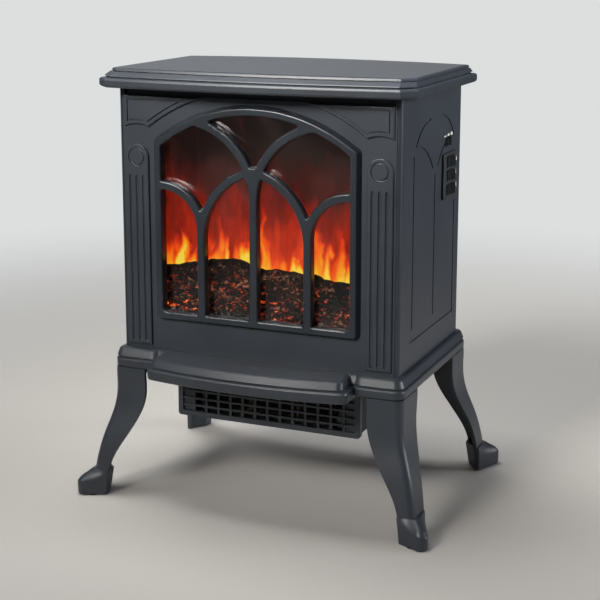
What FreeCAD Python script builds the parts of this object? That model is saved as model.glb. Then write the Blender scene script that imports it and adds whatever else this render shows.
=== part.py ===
import FreeCAD
import Part
import math
import os

from FreeCAD import Vector

# Electric fireplace: a small free-standing stove heater on four splayed legs.
# Frame: X to the right, Y to the back, Z up; origin on the floor under the middle of the four feet.

# overall
leg_height = 168.0        # floor to the underside of the plinth
plinth_height = 25.0
body_height = 327.0
slab_gap = 3.0            # shadow gap between the body and the top slab
slab_thickness = 22.0
body_width = 368.0
body_depth = 232.0
fit_gap = 0.3             # clearance of a piece that drops into another
screw_gap = 0.05          # radial clearance of a screw in its hole
running_gap = 0.05        # radial clearance of a shaft in its bush
past = 1.0                # how far a cutting tool runs past the face it cuts

# top slab
slab_side_overhang = 22.0
slab_front_overhang = 25.0
slab_rear_setback = 5.0
slab_corner_cut = 16.5
slab_bow = 12.0
slab_corner_taper = 0.3   # share of the side inset that shortens the corner cut
slab_crown = 2.5          # rise of the top across its width, at the rear
slab_crown_front = 0.3    # the same at the front
slab_rim = 1.5            # flat rim round the crowned top
slab_lip = 0.5            # depth by which the crown is let into the slab
slab_wall = 3.0
slab_rib_inset = 34.0
slab_rib_width = 6.0
slab_boss_radius = 7.0
slab_screw_inset_x = 50.0
slab_screw_inset_y = 45.0
slab_screw_radius = 2.0
slab_screw_length = 9.0

# plinth
plinth_side_overhang = 9.0
plinth_front_overhang = 13.0
plinth_rear_overhang = 17.0
plinth_wall = 5.0
plinth_top_wall = 3.0
plinth_flange = 24.0
plinth_boss = 40.0
plinth_corner_radius = 12.0
block_width = 64.0        # corner blocks of the plinth
block_recess = 4.0
ledge_end_gap = 1.5       # between the ledge's upper band and a corner block
ledge_reach = 40.5        # ledge front beyond the body front, at its ends
ledge_bow = 12.5
ledge_height = 28.3
ledge_drop = 0.2          # ledge top under the plinth top
ledge_wall = 5.0
ledge_corner_radius = 6.5
ledge_lower_overhang = 5.0  # the lower band runs this far beyond the upper one

# legs
leg_wall = 5.0
leg_corner_radius = 9.5
splay_share_x = 1.12      # the legs splay more to the sides than to the front and rear
splay_share_y = 0.88
foot_proud = 0.5          # how far the foot stands proud of the leg's walls
toe_overrun = 3.2         # the rounded toe ends this far inside its sharp corner
foot_edge_radius = 1.5
toe_reach_x = 47.0        # toe beyond the plinth corner
toe_reach_y = 37.0
foot_height = 19.0         # top edge of the foot's upright flanks
ankle_height = 36.0
pad_radius = 9.0
pad_thickness = 3.0
pad_proud = 1.0
leg_pad_thickness = 8.0
leg_screw_places = [(16.0, 32.0), (32.0, 16.0)]
leg_screw_radius = 2.0
leg_screw_length = 20.0

# body panels
front_wall = 3.0
front_corner_radius = 5.0
front_return = 10.0
sheet = 1.0
side_sheet = 2.0
flange_width = 10.0
relief = 3.0
top_recess_height = 6.5    # dark channel between the front panel's face and the top slab
top_recess_depth = 5.0
top_recess_side_gap = 8.0
bead_inset = 4.8           # fine groove beside each front corner
bead_radius = 0.9
side_groove_depth = 1.3
side_groove_width = 3.0

# window
window_side_margin = 48.0      # frame edge to the side of the body
window_bottom_margin = 40.0    # frame edge to the bottom of the body
window_top_margin = 13.0       # frame crown to the top of the body
window_rise = 47.6
frame_bar = 12.0
frame_front = 8.0              # how far the frame stands proud of the front panel
frame_depth = 13.0
frame_lap = 7.0
frame_draft = 4.0              # its outer wall leans in by this much
frame_edge_radius = 1.5
frame_corner_radius = 8.0
frame_shoulder_radius = 6.0
frame_front_radii = 5.0, 4.0   # corners and shoulders of its smaller front outline
spigot_radii = 6.0, 3.0
opening_radii = 7.0, 4.0
tracery_width = 10.4
tracery_depth = 11.0
tracery_fork_radius = 2.2
tracery_edge_radius = 2.4
mullion_share = 0.567          # side mullion's place, as a share of the opening's half width
lancet_spring = 96.0           # the side mullions branch here, above the bottom of the opening
lancet_overlap = 19.0          # each lancet arc is struck from this far beyond the middle
fork_drop = 37.3               # the fork's arcs start this far below the lancets' crossing
fork_radius = 95.0
tracery_lap = 4.0              # how far the bars run into the frame
side_lancet_lift = 10.0        # the outer arcs branch this much higher than the inner ones
glass_thickness = 3.0
clip_screw_radius = 1.5
clip_screw_length = 2.6
clip_screw_reach = 7.0         # glass clip's place to its screw
clip_sheet = 1.2
clip_half = 6.0
clip_pitch = 110.0

# pilasters
pilaster_margin = 24.8         # pilaster centre line to the side of the body
pilaster_half = 16.0
pilaster_top_margin = 83.0
pilaster_foot = 5.5
rosette_radius = 10.5
rosette_groove = 1.4
flute_pitch = 9.0
flute_radius = 2.3
flute_rise = 0.4               # flute axis in front of the pilaster's face
flute_foot_gap = 6.0
flute_head_gap = 14.0          # below the rosette
pilaster_edge_radius = 1.4

# spandrels
spandrel_side_gap = 8.3
spandrel_top_gap = 0.7
spandrel_inner_end = 40.0      # to the middle of the front
spandrel_tail_rise = 20.0      # its foot above the rosette's middle
scallop_radius = 41.0          # round the rosette
arch_band = 16.0               # bare band between the window's arch and the spandrel
spandrel_border = 4.2          # edge to its groove
spandrel_groove_width = 2.0
spandrel_groove_depth = 1.6
spandrel_edge_radius = 1.5

# motif on the side panels
motif_half = 82.0
motif_depth = 128.0            # front of the body to the motif's middle
motif_base = 33.0              # base line above the plinth top
motif_foot_gap = 14.0          # base line to the foot of the inner uprights
motif_base_run = 6.0           # the base line runs this far in front of the first upright
motif_outer_radius = 67.5
motif_outer_offset = 20.3      # centres of the outer arcs, either side of the middle
motif_outer_height = 226.5
motif_outer_start = 40.0       # the outer arcs start this far above their centres
motif_outer_gap = 10.0         # and this far above the uprights under them
motif_inner_radius = 85.7
motif_inner_offset = 77.1
motif_inner_height = 181.0
motif_inner_start = 52.0
motif_inner_gap = 8.0
motif_inner_reach = 6.0, 61.0  # the inner arcs' ends, to the motif's middle
motif_rear_drop = 53.0         # top of the rear upright under the start of the inner arcs

# firebox
firebox_floor_height = 32.0    # above the plinth top
firebox_half = 158.0
firebox_top_margin = 14.0
firebox_rear_gap = 60.0        # its floor to the rear of the body
liner_tail = 12.0              # the liner runs this far behind the flame screen
reflector_drop = 40.0          # top of the reflector under the top of the liner
hood_gap = 14.0
screen_depth = 60.0            # front of the body to the flame screen
screen_thickness = 2.0
log_front = 17.0               # front of the body to the foot of the log bed
log_wall = 3.0
spindle_depth = 93.0
spindle_height = 37.0
spindle_radius = 1.6
flag_radius = 16.0
flag_count = 14
flag_half = 5.0                # half of a flag's width
flag_twist = 65.0              # degrees from one flag to the next
spindle_hub_radius = 3.2
bracket_x = 138.0
bracket_half = 12.0
bush_wall = 2.0
reflector_depth = 138.0

# heater
housing_half = 121.0
housing_front = 38.0           # front of the body to the mouth of the heater housing
housing_depth = 160.0
housing_drop = 92.0            # how far it hangs under the plinth top
housing_sheet = 1.0
grille_half = 125.0
grille_bottom_drop = 94.0
grille_height = 59.0
grille_bar = 7.0
grille_depth = 8.0
grille_pitch_x = 17.17
grille_pitch_z = 9.5
wheel_radius = 27.0
wheel_blade_count = 24
wheel_length = 170.0
wheel_drop = 48.0              # plinth top to the blower's axis
wheel_depth = 128.0            # front of the body to the blower's axis
motor_length = 22.0
shaft_radius = 3.0

# controls on the right side
control_depth = 181.0          # front of the body to the middle of the controls
control_drop = 111.0           # body top to the middle of the switches
bezel_width = 52.0
bezel_height = 58.0
bezel_proud = 3.0
bezel_collar = 5.0
rocker_pitch = 17.5
rocker_half_height = 6.6
rocker_radius = 14.5
rocker_off_angle = 8.0
rocker_gap = 0.4
collar_wall = 0.9
thumb_drop = 69.0
thumb_radius = 16.0
thumb_proud = 3.5
thumb_thickness = 9.0
thumb_rib_count = 36
thumb_gap = 0.8                # between the wheel and its slot, above and below
collar_half_y = bezel_width / 2 - 4
collar_half_z = bezel_height / 2 - 2
pivot_inset = 3.0
trunnion_radius = 1.3
switch_depth = 22.0

# rear cover
cover_margin = 7.0             # its flange to the top and bottom of the body
cover_side_margin = 8.0
cover_flange = 8.0
cover_depth = 9.0
cover_screw_radius = 1.75
gland_inset = 60.0
gland_rise = 42.0
gland_radius = 7.0
gland_bore = 3.7
gland_neck = 8.0
gland_head = 5.0
gland_nut = 3.0

# derived places
plinth_top = leg_height + plinth_height
body_top = plinth_top + body_height
slab_bottom = body_top + slab_gap
slab_top = slab_bottom + slab_thickness
body_half = body_width / 2
plinth_half = body_half + plinth_side_overhang
plinth_depth = plinth_front_overhang + body_depth + plinth_rear_overhang
plinth_front = -plinth_depth / 2
plinth_rear = plinth_depth / 2
body_front = plinth_front + plinth_front_overhang
body_rear = body_front + body_depth
window_half = body_half - window_side_margin
window_bottom = plinth_top + window_bottom_margin
window_crown = body_top - window_top_margin
arch_radius = (window_half**2 + window_rise**2) / (2 * window_rise)
arch_centre = window_crown - arch_radius
firebox_floor = plinth_top + firebox_floor_height
pan_thickness = sheet

pieces = {}


def block(x0, x1, y0, y1, z0, z1):
    return Part.makeBox(x1 - x0, y1 - y0, z1 - z0, Vector(x0, y0, z0))


def rod(x, y, z, radius, length, axis):
    return Part.makeCylinder(radius, length, Vector(x, y, z), axis)


def line(a, b):
    return Part.LineSegment(a, b).toShape()


def arc(a, middle, b):
    return Part.Arc(a, middle, b).toShape()


def fuse(shapes):
    first = shapes[0]
    if len(shapes) == 1:
        return first
    return first.fuse(shapes[1:]).removeSplitter()


def cut(shape, tools):
    return shape.cut(tools).removeSplitter()


def group(shapes):
    return Part.makeCompound(shapes)


def mirror_x(shape):
    return shape.mirror(Vector(0, 0, 0), Vector(1, 0, 0))


def mirror_y(shape):
    return shape.mirror(Vector(0, 0, 0), Vector(0, 1, 0))


def both_sides(shape):
    return [shape, mirror_x(shape)]


def stacked(outline, profile):
    """Solid through one outline per (height, inset) pair of the profile."""
    wires = [outline(inset, height) for height, inset in profile]
    return Part.makeLoft(wires, True, True)


def polygon_xz(points, y0, y1):
    corners = [Vector(x, y0, z) for x, z in points]
    face = Part.Face(Part.makePolygon(corners + [corners[0]]))
    return face.extrude(Vector(0, y1 - y0, 0))


def edges_along_y(shape, places, reach):
    """Straight edges along Y that pass within reach of one of the (x, z) places."""
    found = []
    for edge in shape.Edges:
        if len(edge.Vertexes) != 2:
            continue
        a, b = (vertex.Point for vertex in edge.Vertexes)
        straight = abs(a.x - b.x) < 0.01 and abs(a.z - b.z) < 0.01 and abs(a.y - b.y) > 1
        if straight and any(math.hypot(a.x - x, a.z - z) < reach for x, z in places):
            found.append(edge)
    return found


def edges_in_plane(shape, plane_y):
    return [edge for edge in shape.Edges
            if all(abs(vertex.Point.y - plane_y) < 0.01 for vertex in edge.Vertexes)
            and abs(edge.CenterOfMass.y - plane_y) < 0.01]


def edges_along_z(shape, plane_y):
    """Straight upright edges in the plane y."""
    return [edge for edge in edges_in_plane(shape, plane_y)
            if abs(edge.Vertexes[0].Point.x - edge.Vertexes[1].Point.x) < 0.01]


def is_sharp(shape, edge):
    """True where the two faces of an edge meet at an angle instead of running on smoothly."""
    point = edge.valueAt((edge.FirstParameter + edge.LastParameter) / 2)
    first, second = shape.ancestorsOfType(edge, Part.Face)
    turn = first.normalAt(*first.Surface.parameter(point)).getAngle(
        second.normalAt(*second.Surface.parameter(point)))
    return turn > math.radians(5)


def screw(x, y, z, direction, shank, head_radius, shank_radius):
    """Pan head screw: its head sits at (x, y, z) and its shank runs along direction."""
    axis = Vector(*direction)
    head = rod(x, y, z, head_radius, head_radius * 0.7, axis * -1)
    top = Vector(x, y, z) - axis * (head_radius * 0.7)
    slot = Part.makeCylinder(head_radius * 0.35, head_radius * 0.35, top, axis)
    return fuse([head, rod(x, y, z, shank_radius, shank, axis)]).cut(slot)


def screw_hole(x, y, z, direction, depth, shank_radius):
    return rod(x, y, z, shank_radius + screw_gap, depth, Vector(*direction))


# rise above the slab's underside, inset of the sides, inset of the front
slab_steps = [(0, 2.5, 2.5), (1.2, 0.8, 0.8), (3, 0, 0), (8.5, 0, 0), (9.6, 0.4, 0.5), (10.8, 1.6, 1.9),
              (11.4, 3.2, 4.0), (11.5, 6.4, 8.6), (13.1, 6.4, 8.6), (13.2, 4.4, 6.6), (14.2, 5.0, 8.2),
              (18.0, 7.2, 17.2), (18.1, 8.9, 20.8), (18.9, 8.9, 20.8), (19.0, 8.1, 19.8), (20.4, 8.3, 20.2),
              (21.4, 9.2, 21.4), (22, 10.4, 23.2)]


def slab_outline(side_inset, front_inset, height):
    half = body_half + slab_side_overhang - side_inset
    front = body_front - slab_front_overhang + front_inset
    rear = body_rear - slab_rear_setback - side_inset
    leg = slab_corner_cut - side_inset * slab_corner_taper
    right_rear = Vector(half, rear, height)
    left_rear = Vector(-half, rear, height)
    right_side = Vector(half, front + leg, height)
    left_side = Vector(-half, front + leg, height)
    right_front = Vector(half - leg, front, height)
    left_front = Vector(-half + leg, front, height)
    bow = arc(right_front, Vector(0, front - slab_bow, height), left_front)
    return Part.Wire([line(left_rear, right_rear), line(right_rear, right_side),
                      line(right_side, right_front), bow,
                      line(left_front, left_side), line(left_side, left_rear)])


def moulded_profile(bottom, steps):
    return [(bottom + rise, inset) for rise, inset in steps]


slab_screw_x = body_half - slab_screw_inset_x
slab_screw_y = [body_front + slab_screw_inset_y, body_rear - slab_screw_inset_y]


def slab_crown_solid():
    half = body_half + slab_side_overhang
    front = body_front - slab_front_overhang - slab_bow
    low = slab_top - slab_lip
    sections = []
    for y, crown in ((front, slab_crown_front), (body_rear, slab_crown)):
        a, b = Vector(-half, y, slab_top), Vector(half, y, slab_top)
        over = arc(a, Vector(0, y, slab_top + crown), b)
        low_a, low_b = Vector(-half, y, low), Vector(half, y, low)
        sections.append(Part.Wire([over, line(b, low_b), line(low_b, low_a), line(low_a, a)]))
    return Part.makeLoft(sections, True, True)


def make_slab():
    wires = [slab_outline(side, front, slab_bottom + rise) for rise, side, front in slab_steps]
    slab = Part.makeLoft(wires, True, True)
    top_side, top_front = slab_steps[-1][1:]
    crowned = Part.Face(slab_outline(top_side + slab_rim, top_front + slab_rim, slab_top - slab_lip))
    prism = crowned.extrude(Vector(0, 0, slab_crown + 2 * past))
    slab = fuse([slab, prism.common(slab_crown_solid())])
    hollow = Part.Face(slab_outline(top_side + slab_wall, top_front + slab_wall, slab_bottom))
    slab = slab.cut(hollow.extrude(Vector(0, 0, slab_thickness - slab_wall)))
    rib_half = body_half - slab_rib_inset
    rib_front, rib_rear = body_front + slab_rib_inset, body_rear - slab_rib_inset
    under = slab_top - slab_wall
    ribs = block(-rib_half, rib_half, rib_front, rib_rear, body_top, under)
    inner_half = rib_half - slab_rib_width
    inner = block(-inner_half, inner_half, rib_front + slab_rib_width, rib_rear - slab_rib_width,
                  body_top, under)
    bosses = []
    holes = []
    for x in (-slab_screw_x, slab_screw_x):
        for y in slab_screw_y:
            bosses.append(rod(x, y, body_top, slab_boss_radius, under - body_top, Vector(0, 0, 1)))
            holes.append(screw_hole(x, y, body_top - past, (0, 0, 1), slab_screw_length + 2 * past,
                                    slab_screw_radius))
    pieces["top_slab"] = fuse([slab, ribs.cut(inner)] + bosses).cut(holes)


def rounded_rectangle(x0, x1, y0, y1, radius, z):
    k = radius * (1 - math.sqrt(0.5))
    return Part.Wire([
        line(Vector(x0 + radius, y0, z), Vector(x1 - radius, y0, z)),
        arc(Vector(x1 - radius, y0, z), Vector(x1 - k, y0 + k, z), Vector(x1, y0 + radius, z)),
        line(Vector(x1, y0 + radius, z), Vector(x1, y1 - radius, z)),
        arc(Vector(x1, y1 - radius, z), Vector(x1 - k, y1 - k, z), Vector(x1 - radius, y1, z)),
        line(Vector(x1 - radius, y1, z), Vector(x0 + radius, y1, z)),
        arc(Vector(x0 + radius, y1, z), Vector(x0 + k, y1 - k, z), Vector(x0, y1 - radius, z)),
        line(Vector(x0, y1 - radius, z), Vector(x0, y0 + radius, z)),
        arc(Vector(x0, y0 + radius, z), Vector(x0 + k, y0 + k, z), Vector(x0 + radius, y0, z))])


# rise above the underside and inset, from the bottom up
plinth_steps = [(0, 1.6), (0.7, 0.4), (2, -0.4), (9.5, -0.6), (10.8, -0.2), (11.7, 0.8), (12.2, 1.9),
                (13.3, 1.9), (13.8, 0.9), (14.6, 0.2), (22.4, 3.0), (23.6, 4.0), (24.4, 5.4), (24.8, 7.0),
                (25, 9.0)]
# rise above the ledge's underside, inset of the front, inset of the ends
ledge_lower_steps = [(0, 2.0, 2.0), (0.8, 0.7, 0.7), (2.4, 0, 0), (11.8, -0.4, -0.4), (13.2, 0.1, 0.1),
                     (14.0, 1.2, 1.0), (14.5, 2.6, 2.4), (16.2, 2.6, 2.4)]
ledge_upper_steps = [(14.5, 2.6, 1.6), (15.6, 2.6, 1.6), (16.3, 1.3, 0.6), (17.2, 0.6, 0), (24.8, 3.4, 1.0),
                     (25.8, 4.4, 1.8), (26.4, 5.8, 2.8), (26.8, 8.0, 4.2), (28.3, 34.0, 6.0)]


def plinth_outline(inset, height):
    radius = plinth_corner_radius - inset * 0.8
    return rounded_rectangle(-plinth_half + inset, plinth_half - inset, plinth_front + block_recess + inset,
                             plinth_rear - inset, radius, height)


def block_outline(inset, height):
    radius = plinth_corner_radius - inset * 0.8
    return rounded_rectangle(plinth_half - block_width + inset, plinth_half - inset, plinth_front + inset,
                             plinth_front + block_width - inset, radius, height)


ledge_half = plinth_half - block_width - ledge_end_gap
lower_ledge_half = ledge_half + ledge_lower_overhang


def ledge_outline(half, inset, height):
    front = body_front - ledge_reach + inset
    rear = body_front + 10
    radius = ledge_corner_radius
    k = radius * 0.33
    right = Vector(half, front + radius, height)
    left = Vector(-half, front + radius, height)
    right_front = Vector(half - radius, front - 1.2, height)
    left_front = Vector(-half + radius, front - 1.2, height)
    return Part.Wire([
        line(Vector(-half, rear, height), Vector(half, rear, height)),
        line(Vector(half, rear, height), right),
        arc(right, Vector(half - k, front + k * 0.7, height), right_front),
        arc(right_front, Vector(0, front - ledge_bow, height), left_front),
        arc(left_front, Vector(-half + k, front + k * 0.7, height), left),
        line(left, Vector(-half, rear, height))])


def make_ledge():
    bottom = plinth_top - ledge_drop - ledge_height
    bands = []
    for half, steps in ((lower_ledge_half, ledge_lower_steps), (ledge_half, ledge_upper_steps)):
        wires = [ledge_outline(half - end, front, bottom + rise) for rise, front, end in steps]
        bands.append(Part.makeLoft(wires, True, True))
    return fuse(bands)


pan_screw_radius = 1.75
pan_screw_length = 4.2
pan_screw_inset_x = 5.0
pan_screw_inset_y = 25.0
pan_half = body_half - side_sheet - flange_width - 1
pan_front = body_front + front_wall + 6
pan_rear = body_rear - flange_width - sheet - 1
pan_screw_x = pan_half - pan_screw_inset_x
pan_screw_y = [pan_front + pan_screw_inset_y, pan_rear - pan_screw_inset_y]


def corner_places(inset_x, inset_y):
    return [(side * (plinth_half - inset_x), end * (plinth_rear - inset_y))
            for side in (-1, 1) for end in (-1, 1)]


def make_plinth():
    steps = moulded_profile(leg_height, plinth_steps)
    ring = stacked(plinth_outline, steps)
    corner = stacked(block_outline, steps)
    plinth = fuse([ring, make_ledge()] + both_sides(corner))
    inside_x = plinth_half - plinth_wall - 2
    inside_front = plinth_front + block_recess + plinth_wall + 2
    inside_rear = plinth_rear - plinth_wall - 2
    cavity = block(-inside_x, inside_x, inside_front, inside_rear, leg_height - past,
                   plinth_top - plinth_top_wall)
    keep = []
    for x, y in corner_places(0, 0):
        reach_x = x - math.copysign(plinth_boss, x)
        reach_y = y - math.copysign(plinth_boss, y)
        keep.append(block(min(x, reach_x), max(x, reach_x), min(y, reach_y), max(y, reach_y),
                          leg_height - past, plinth_top))
    mouth = block(-body_half + plinth_flange, body_half - plinth_flange, body_front + plinth_flange - 8,
                  body_rear - plinth_flange + 8, leg_height, plinth_top + 1)
    ledge_bottom = plinth_top - ledge_drop - ledge_height
    ledge_face = Part.Face(ledge_outline(ledge_half - ledge_wall, ledge_wall + 2, ledge_bottom - 1))
    under_ledge = ledge_face.extrude(Vector(0, 0, ledge_height + 1 - ledge_wall))
    holes = []
    for dx, dy in leg_screw_places:
        for x, y in corner_places(dx, dy):
            depth = leg_screw_length - leg_pad_thickness + 2 * past
            holes.append(screw_hole(x, y, leg_height - past, (0, 0, 1), depth, leg_screw_radius))
    for x in (-pan_screw_x, pan_screw_x):
        for y in pan_screw_y:
            holes.append(screw_hole(x, y, plinth_top + past, (0, 0, -1), 6, pan_screw_radius))
    pieces["base_plinth"] = plinth.cut([cavity.cut(keep), mouth, under_ledge] + holes)


def make_base_pan():
    pan = block(-pan_half, pan_half, pan_front, pan_rear, plinth_top, plinth_top + pan_thickness)
    blower_air = block(-60, 60, pan_rear - 40, pan_rear - 15, plinth_top - 1, plinth_top + 3)
    holes = [blower_air]
    screws = []
    for x in (-pan_screw_x, pan_screw_x):
        for y in pan_screw_y:
            holes.append(screw_hole(x, y, plinth_top + 3, (0, 0, -1), 6, pan_screw_radius))
            screws.append(screw(x, y, plinth_top + pan_thickness, (0, 0, -1), pan_screw_length, 3.5,
                                pan_screw_radius))
    pieces["base_pan"] = pan.cut(holes)
    pieces["base_screws"] = group(screws)


# height, splay of the outer corner, width of the front wall, width of the side wall
leg_sections = [(pad_proud, 23.0, 19.8, 34.0), (16.0, 22.8, 20.9, 34.5), (ankle_height, 21.3, 21.8, 36.0),
                (57.0, 18.0, 26.5, 37.5), (77.0, 13.4, 33.5, 41.0), (98.0, 7.2, 39.0, 47.0),
                (122.0, 1.6, 43.0, 53.0), (145.0, 0.0, 44.0, 57.0), (leg_height, 0.0, 44.0, 59.0)]
# height, reach of the heel, end of the front flank, end of the side flank, toe set-back, toe radius
foot_sections = [(pad_proud, 7.0, 5.4, -14.4, 1.2, 8.0), (pad_proud + 1.5, 6.6, 5.2, -14.6, 0.0, 8.0),
                 (foot_height - 2, 4.6, 3.8, -15.0, 0.0, 8.0), (foot_height, 4.4, 3.6, -15.0, 1.0, 8.0),
                 (foot_height + 1.7, 4.2, 3.4, -15.2, 3.0, 8.0), (foot_height + 4, 4.0, 3.0, -15.6, 6.6, 7.0),
                 (foot_height + 7, 3.6, 2.6, -16.0, 12.0, 6.0),
                 (foot_height + 10, 3.2, 2.2, -16.4, 17.5, 5.0),
                 (foot_height + 14, 2.8, 1.8, -16.8, 23.0, 4.0)]


def leg_outline(height, splay, front_width, side_width):
    x = plinth_half + splay * splay_share_x
    y = plinth_rear + splay * splay_share_y
    r = leg_corner_radius
    k = r * (1 - math.sqrt(0.5))
    inner = leg_wall
    points = [Vector(x - front_width, y, height), Vector(x - r, y, height), Vector(x, y - r, height),
              Vector(x, y - side_width, height), Vector(x - inner, y - side_width, height),
              Vector(x - inner, y - inner, height), Vector(x - front_width, y - inner, height)]
    bend = arc(points[1], Vector(x - k, y - k, height), points[2])
    lines = [line(points[i], points[i + 1]) for i in (2, 3, 4, 5)]
    return Part.Wire([line(points[0], points[1]), bend] + lines + [line(points[6], points[0])])


def foot_outline(height, heel, front_end, side_end, set_back, toe_radius):
    """Four-cornered outline: heel, end of the front flank, toe, end of the side flank."""
    splay = leg_sections[0][1]
    corners = [(heel, heel), (front_end, splay * splay_share_y + foot_proud),
               (toe_reach_x + toe_overrun - set_back, toe_reach_y + toe_overrun - set_back),
               (splay * splay_share_x + foot_proud, side_end)]
    radii = [foot_edge_radius, foot_edge_radius, toe_radius, foot_edge_radius]
    starts = []
    for i, (cx, cy) in enumerate(corners):
        here = Vector(cx, cy, 0)
        to_before = (Vector(*corners[i - 1], 0) - here).normalize()
        to_after = (Vector(*corners[(i + 1) % 4], 0) - here).normalize()
        half_angle = to_before.getAngle(to_after) / 2
        reach = radii[i] / math.tan(half_angle)
        middle_way = (to_before + to_after).normalize()
        middle = here + middle_way * (radii[i] / math.sin(half_angle) - radii[i])
        starts.append((here + to_before * reach, middle, here + to_after * reach))
    place = Vector(plinth_half, plinth_rear, height)
    edges = []
    for i, (first, middle, last) in enumerate(starts):
        edges.append(arc(first + place, middle + place, last + place))
        edges.append(line(last + place, starts[(i + 1) % 4][0] + place))
    return Part.Wire(edges)


def make_legs():
    walls = Part.makeLoft([leg_outline(*section) for section in leg_sections], True, False)
    foot = Part.makeLoft([foot_outline(*section) for section in foot_sections], True, True)
    pad_x = plinth_half + toe_reach_x / 2
    pad_y = plinth_rear + toe_reach_y / 2
    seat = rod(pad_x, pad_y, 0, pad_radius + fit_gap, pad_thickness, Vector(0, 0, 1))
    top_pad = block(plinth_half - plinth_boss, plinth_half - leg_wall + 0.5, plinth_rear - plinth_boss,
                    plinth_rear - leg_wall + 0.5, leg_height - leg_pad_thickness, leg_height)
    leg = fuse([walls, foot, top_pad]).cut(seat)
    screws = []
    for dx, dy in leg_screw_places:
        x, y = plinth_half - dx, plinth_rear - dy
        start = leg_height - leg_pad_thickness
        leg = leg.cut(screw_hole(x, y, start - 1, (0, 0, 1), leg_pad_thickness + 2, leg_screw_radius))
        screws.append(screw(x, y, start, (0, 0, 1), leg_screw_length, 4.0, leg_screw_radius))
    pad = rod(pad_x, pad_y, 0, pad_radius, pad_thickness, Vector(0, 0, 1))
    all_screws = []
    pads = []
    for side, turn in (("rear_right", lambda s: s), ("rear_left", mirror_x), ("front_right", mirror_y),
                       ("front_left", lambda s: mirror_x(mirror_y(s)))):
        pieces["leg_" + side] = turn(leg)
        pads.append(turn(pad))
        all_screws += [turn(item) for item in screws]
    pieces["foot_pads"] = group(pads)
    pieces["leg_screws"] = group(all_screws)


def arch_wire(half, bottom, radius, y):
    shoulder = arch_centre + math.sqrt(radius**2 - half**2)
    low_left, low_right = Vector(-half, y, bottom), Vector(half, y, bottom)
    high_right, high_left = Vector(half, y, shoulder), Vector(-half, y, shoulder)
    crown = Vector(0, y, arch_centre + radius)
    return Part.Wire([line(low_left, low_right), line(low_right, high_right),
                      arc(high_right, crown, high_left), line(high_left, low_left)])


def arch_prism(margin, y0, y1, corner_radius, shoulder_radius):
    """Prism with the window's outline, margin inside the frame's outer edge."""
    half = window_half - margin
    bottom = window_bottom + margin
    radius = arch_radius - margin
    shoulder = arch_centre + math.sqrt(radius**2 - half**2)
    prism = Part.Face(arch_wire(half, bottom, radius, y0)).extrude(Vector(0, y1 - y0, 0))
    low = edges_along_y(prism, [(-half, bottom), (half, bottom)], 1)
    prism = prism.makeFillet(corner_radius, low)
    high = edges_along_y(prism, [(-half, shoulder), (half, shoulder)], 1)
    return prism.makeFillet(shoulder_radius, high)


def arch_loop(margin, y, corner_radius, shoulder_radius):
    """The window's rounded outline as a wire in the plane y."""
    prism = arch_prism(margin, y, y + 2, corner_radius, shoulder_radius)
    faces = [face for face in prism.Faces if abs(face.CenterOfMass.y - y) < 0.01]
    return faces[0].OuterWire


def make_pilaster():
    centre = body_half - pilaster_margin
    top = body_top - pilaster_top_margin
    bottom = plinth_top + pilaster_foot
    front = body_front - relief
    shaft = block(centre - pilaster_half, centre + pilaster_half, front, body_front + past, bottom, top)
    head = rod(centre, front, top, pilaster_half, relief + past, Vector(0, 1, 0))
    column = fuse([shaft, head])
    column = column.makeFillet(pilaster_edge_radius, edges_in_plane(column, front))
    axis_y = front - flute_rise
    low = bottom + flute_foot_gap
    high = top - rosette_radius - flute_head_gap
    cutters = [Part.makeTorus(rosette_radius, rosette_groove, Vector(centre, front, top), Vector(0, 1, 0))]
    for x in (centre - flute_pitch, centre, centre + flute_pitch):
        cutters.append(rod(x, axis_y, low, flute_radius, high - low, Vector(0, 0, 1)))
        cutters += [Part.makeSphere(flute_radius, Vector(x, axis_y, z)) for z in (low, high)]
    return column.cut(cutters)


def make_spandrel():
    """Raised corner panel over the arch, with a scalloped edge round the pilaster's head."""
    rosette_x = body_half - pilaster_margin
    rosette_z = body_top - pilaster_top_margin
    front = body_front - relief
    panel = block(spandrel_inner_end, body_half - spandrel_side_gap, front, body_front + past,
                  rosette_z + spandrel_tail_rise, body_top - top_recess_height - spandrel_top_gap)
    depth = relief + 3 * past
    round_arch = rod(0, front - past, arch_centre, arch_radius + arch_band, depth, Vector(0, 1, 0))
    round_rosette = rod(rosette_x, front - past, rosette_z, scallop_radius, depth, Vector(0, 1, 0))
    panel = max(panel.cut([round_arch, round_rosette]).Solids, key=lambda solid: solid.Volume)
    face = [face for face in panel.Faces if abs(face.CenterOfMass.y - front) < 0.01][0]
    outer_line = face.makeOffset2D(-spandrel_border, 2)
    inner_line = face.makeOffset2D(-spandrel_border - spandrel_groove_width, 2)
    groove = outer_line.cut(inner_line).extrude(Vector(0, spandrel_groove_depth, 0))
    return panel.makeFillet(spandrel_edge_radius, edges_in_plane(panel, front)).cut(groove)


def clip_layout():
    """Clip centre and outward direction, as (x, z, dx, dz), round the window glass."""
    low = window_bottom + window_bottom_margin
    places = []
    for side in (-1, 1):
        for z in (low, low + clip_pitch):
            places.append((side * (window_half - frame_lap), z, side, 0))
        places.append((side * window_half / 2, window_bottom + frame_lap, 0, -1))
    return places


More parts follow.
